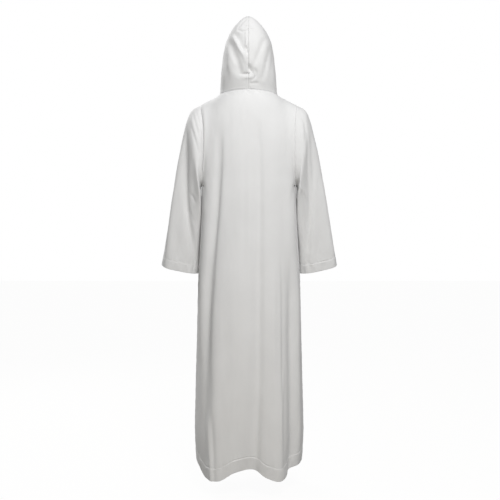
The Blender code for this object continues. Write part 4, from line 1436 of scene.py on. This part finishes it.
class Shader:
    """A material's node tree, built up call by call."""

    def __init__(self, name, colour, roughness):
        self.material = bpy.data.materials.new(name)
        self.material.use_nodes = True
        self.material.diffuse_color = (*colour, 1.0)
        self.tree = self.material.node_tree
        self.surface = self.tree.nodes["Principled BSDF"]
        self.set({"Base Color": (*colour, 1.0), "Roughness": roughness})

    def set(self, values):
        fill(self.tree, self.surface, values)

    def node(self, kind, values=(), **settings):
        return add_node(self.tree, kind, values, **settings)

    def math(self, operation, first, second=0.0):
        return self.node("ShaderNodeMath", {0: first, 1: second}, operation=operation).outputs[0]

    def stretched(self, place, scale):
        values = {0: place, 1: scale}
        return self.node("ShaderNodeVectorMath", values, operation="MULTIPLY").outputs[0]


WHITE = (0.800, 0.800, 0.798)
DARKER_WHITE = (0.778, 0.778, 0.776)
LIGHTER_WHITE = (0.822, 0.822, 0.820)
THREAD_WHITE = (0.830, 0.830, 0.825)
YARN = 0.00042  # from one yarn of the weave to the next


def cotton():
    """White cotton in plain weave, with slubs, a faint unevenness of white and a soft sheen."""
    shader = Shader("white_cotton", WHITE, 0.80)
    shader.set({"Sheen Weight": 0.22, "Sheen Roughness": 0.45, "Specular IOR Level": 0.30})
    place = shader.node("ShaderNodeUVMap", uv_map=CLOTH_MAP).outputs[0]

    # Warp and weft pass over each other in turn.
    yarns = shader.stretched(place, (math.pi / YARN,) * 3)
    axes = shader.node("ShaderNodeSeparateXYZ", {0: yarns}).outputs
    crossing = shader.math("MULTIPLY", *(shader.math("SINE", axis) for axis in axes[:2]))
    weave = shader.math("MULTIPLY", shader.math("ABSOLUTE", crossing), 0.5)
    weave = shader.math("ADD", weave, shader.math("MULTIPLY", crossing, 0.3))

    # Slubs are thicker stretches of single yarns, long along the cloth or across it.
    slubs = []
    for stretch in ((2600.0, 130.0, 1.0), (110.0, 2400.0, 1.0)):
        values = {"Vector": shader.stretched(place, stretch), "Scale": 1.0, "Detail": 1.0}
        slubs.append(shader.node("ShaderNodeTexNoise", values).outputs["Fac"])
    slub = shader.math("ADD", *slubs)
    height = shader.math("ADD", weave, shader.math("MULTIPLY", slub, 0.9))
    values = {"Height": height, "Distance": 0.00006, "Strength": 0.55}
    shader.set({"Normal": shader.node("ShaderNodeBump", values).outputs[0]})

    # The white is a little uneven from place to place and from yarn to yarn.
    cloudy = shader.node("ShaderNodeTexNoise", {"Vector": place, "Scale": 9.0, "Detail": 3.0})
    mixed = shader.math("MULTIPLY", cloudy.outputs["Fac"], 0.6)
    mixed = shader.math("ADD", mixed, shader.math("MULTIPLY", slub, 0.2))
    ramp = shader.node("ShaderNodeValToRGB", {0: mixed})
    stops = ((0.30, DARKER_WHITE), (0.70, LIGHTER_WHITE))
    for element, (position, colour) in zip(ramp.color_ramp.elements, stops):
        element.position, element.color = position, (*colour, 1.0)
    shader.set({"Base Color": ramp.outputs[0]})
    return shader.material


def thread_material():
    """Sewing thread, a shade brighter than the cloth, with the ridges of its twist."""
    shader = Shader("white_thread", THREAD_WHITE, 0.62)
    shader.set({"Sheen Weight": 0.15})
    spot = shader.node("ShaderNodeTexCoord").outputs["Object"]
    twist = shader.node("ShaderNodeTexNoise", {"Vector": spot, "Scale": 3000.0})
    bump = shader.node("ShaderNodeBump", {"Height": twist.outputs["Fac"], "Distance": 0.00004})
    shader.set({"Normal": bump.outputs[0]})
    return shader.material


# --- floor, light and camera ------------------------------------------------------------------

PURE_WHITE = (1.0, 1.0, 1.0, 1.0)
FLOOR = -1.505  # its height
FLOOR_COLOUR = (0.22, 0.215, 0.20)
FLOOR_WHITE = 1.12  # how brightly the camera sees it shine
FLOOR_WHITE_SHARE = 0.86  # and how much of that it sees, beside its shadows
AMBIENT = 0.35
EYE = (-0.0058, 3.0, -0.5968)
LENS = 56.1  # mm, on a sensor of 36 mm

# Each lamp's place, the point it faces, its diameter, watts and colour.
LAMPS = {
    "key": ((-0.44, 2.45, 1.10), (0.0, 0.0, -0.30), 0.9, 57.0, PURE_WHITE[:3]),
    "low": ((0.0, 1.1, -1.44), (0.0, 0.1, -1.25), 0.8, 0.55, (1.0, 0.68, 0.20)),
    "far_side": ((1.7, -2.1, 1.0), (0.0, 0.0, -0.45), 0.9, 48.0, PURE_WHITE[:3]),
}


def camera_mix(tree, others, camera, share=1.0):
    """The socket of a mix: camera rays get a share of the second shader, others the first."""
    seen = add_node(tree, "ShaderNodeLightPath").outputs["Is Camera Ray"]
    part = add_node(tree, "ShaderNodeMath", {0: seen, 1: share}, operation="MULTIPLY")
    mix = add_node(tree, "ShaderNodeMixShader", {0: part.outputs[0], 1: others, 2: camera})
    return mix.outputs[0]


def make_floor():
    """A pale floor that the camera sees as nearly white, with a faint shadow on it."""
    bpy.ops.mesh.primitive_plane_add(size=40.0, location=(0, 0, FLOOR))
    floor = bpy.context.object
    floor.name = "floor"
    shader = Shader("pale_floor", FLOOR_COLOUR, 0.9)
    white = shader.node("ShaderNodeEmission", {0: PURE_WHITE, 1: FLOOR_WHITE})
    tree, surface = shader.tree, shader.surface
    shown = camera_mix(tree, surface.outputs[0], white.outputs[0], FLOOR_WHITE_SHARE)
    tree.links.new(shown, tree.nodes["Material Output"].inputs[0])
    floor.data.materials.append(shader.material)


def make_world():
    """Soft light from all round, and a white backdrop for the camera."""
    world = bpy.data.worlds.new("studio")
    world.use_nodes = True
    tree = world.node_tree
    ambient = tree.nodes["Background"]
    fill(tree, ambient, {0: PURE_WHITE, 1: AMBIENT})
    backdrop = add_node(tree, "ShaderNodeBackground", {0: PURE_WHITE, 1: 1.0})
    shown = camera_mix(tree, ambient.outputs[0], backdrop.outputs[0])
    tree.links.new(shown, tree.nodes["World Output"].inputs[0])
    bpy.context.scene.world = world


def area_light(name, place, target, size, power, colour):
    data = bpy.data.lights.new(name, "AREA")
    data.shape, data.size, data.energy, data.color = "DISK", size, power, colour
    lamp = bpy.data.objects.new(name, data)
    lamp.location = place
    lamp.rotation_euler = (Vector(target) - Vector(place)).to_track_quat("-Z", "Y").to_euler()
    bpy.context.scene.collection.objects.link(lamp)


def light_and_camera():
    make_world()
    for name, settings in LAMPS.items():
        area_light(name, *settings)
    camera_data = bpy.data.cameras.new("camera")
    camera_data.lens, camera_data.sensor_width = LENS, 36.0
    camera = bpy.data.objects.new("camera", camera_data)
    camera.location = EYE
    camera.rotation_euler = (math.pi / 2, 0.0, math.pi)
    bpy.context.scene.collection.objects.link(camera)
    bpy.context.scene.camera = camera
    bpy.context.scene.view_settings.view_transform = "Standard"


# --- everything together ----------------------------------------------------------------------

# Each piece's solid, its flat width and length as cut, and the cloth in it in square metres.
CUT = {
    "back": ("back_panel", (0.68, 1.48), 0.780),
    "front": ("front_panel", (0.66, 1.42), 0.735),
    "left_sleeve": ("left_sleeve", (0.66, 0.64), 0.242),
    "right_sleeve": ("right_sleeve", (0.66, 0.64), 0.242),
    "hood_left": ("hood_left", (0.32, 0.40), 0.100),
    "hood_right": ("hood_right", (0.32, 0.40), 0.100),
}


def main():
    cloths = make_cloths()
    shape_cloths(cloths)
    fabric, thread = cotton(), thread_material()
    stitches = sew_rows(cloths, thread)
    for name, cloth in cloths.items():
        node, flat, area = CUT[name]
        piece = cloth_piece(cloth, fabric)
        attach(piece, "root")
        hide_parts(node)
        for row in stitches[name]:
            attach(row, "root")

    make_floor()
    light_and_camera()


main()
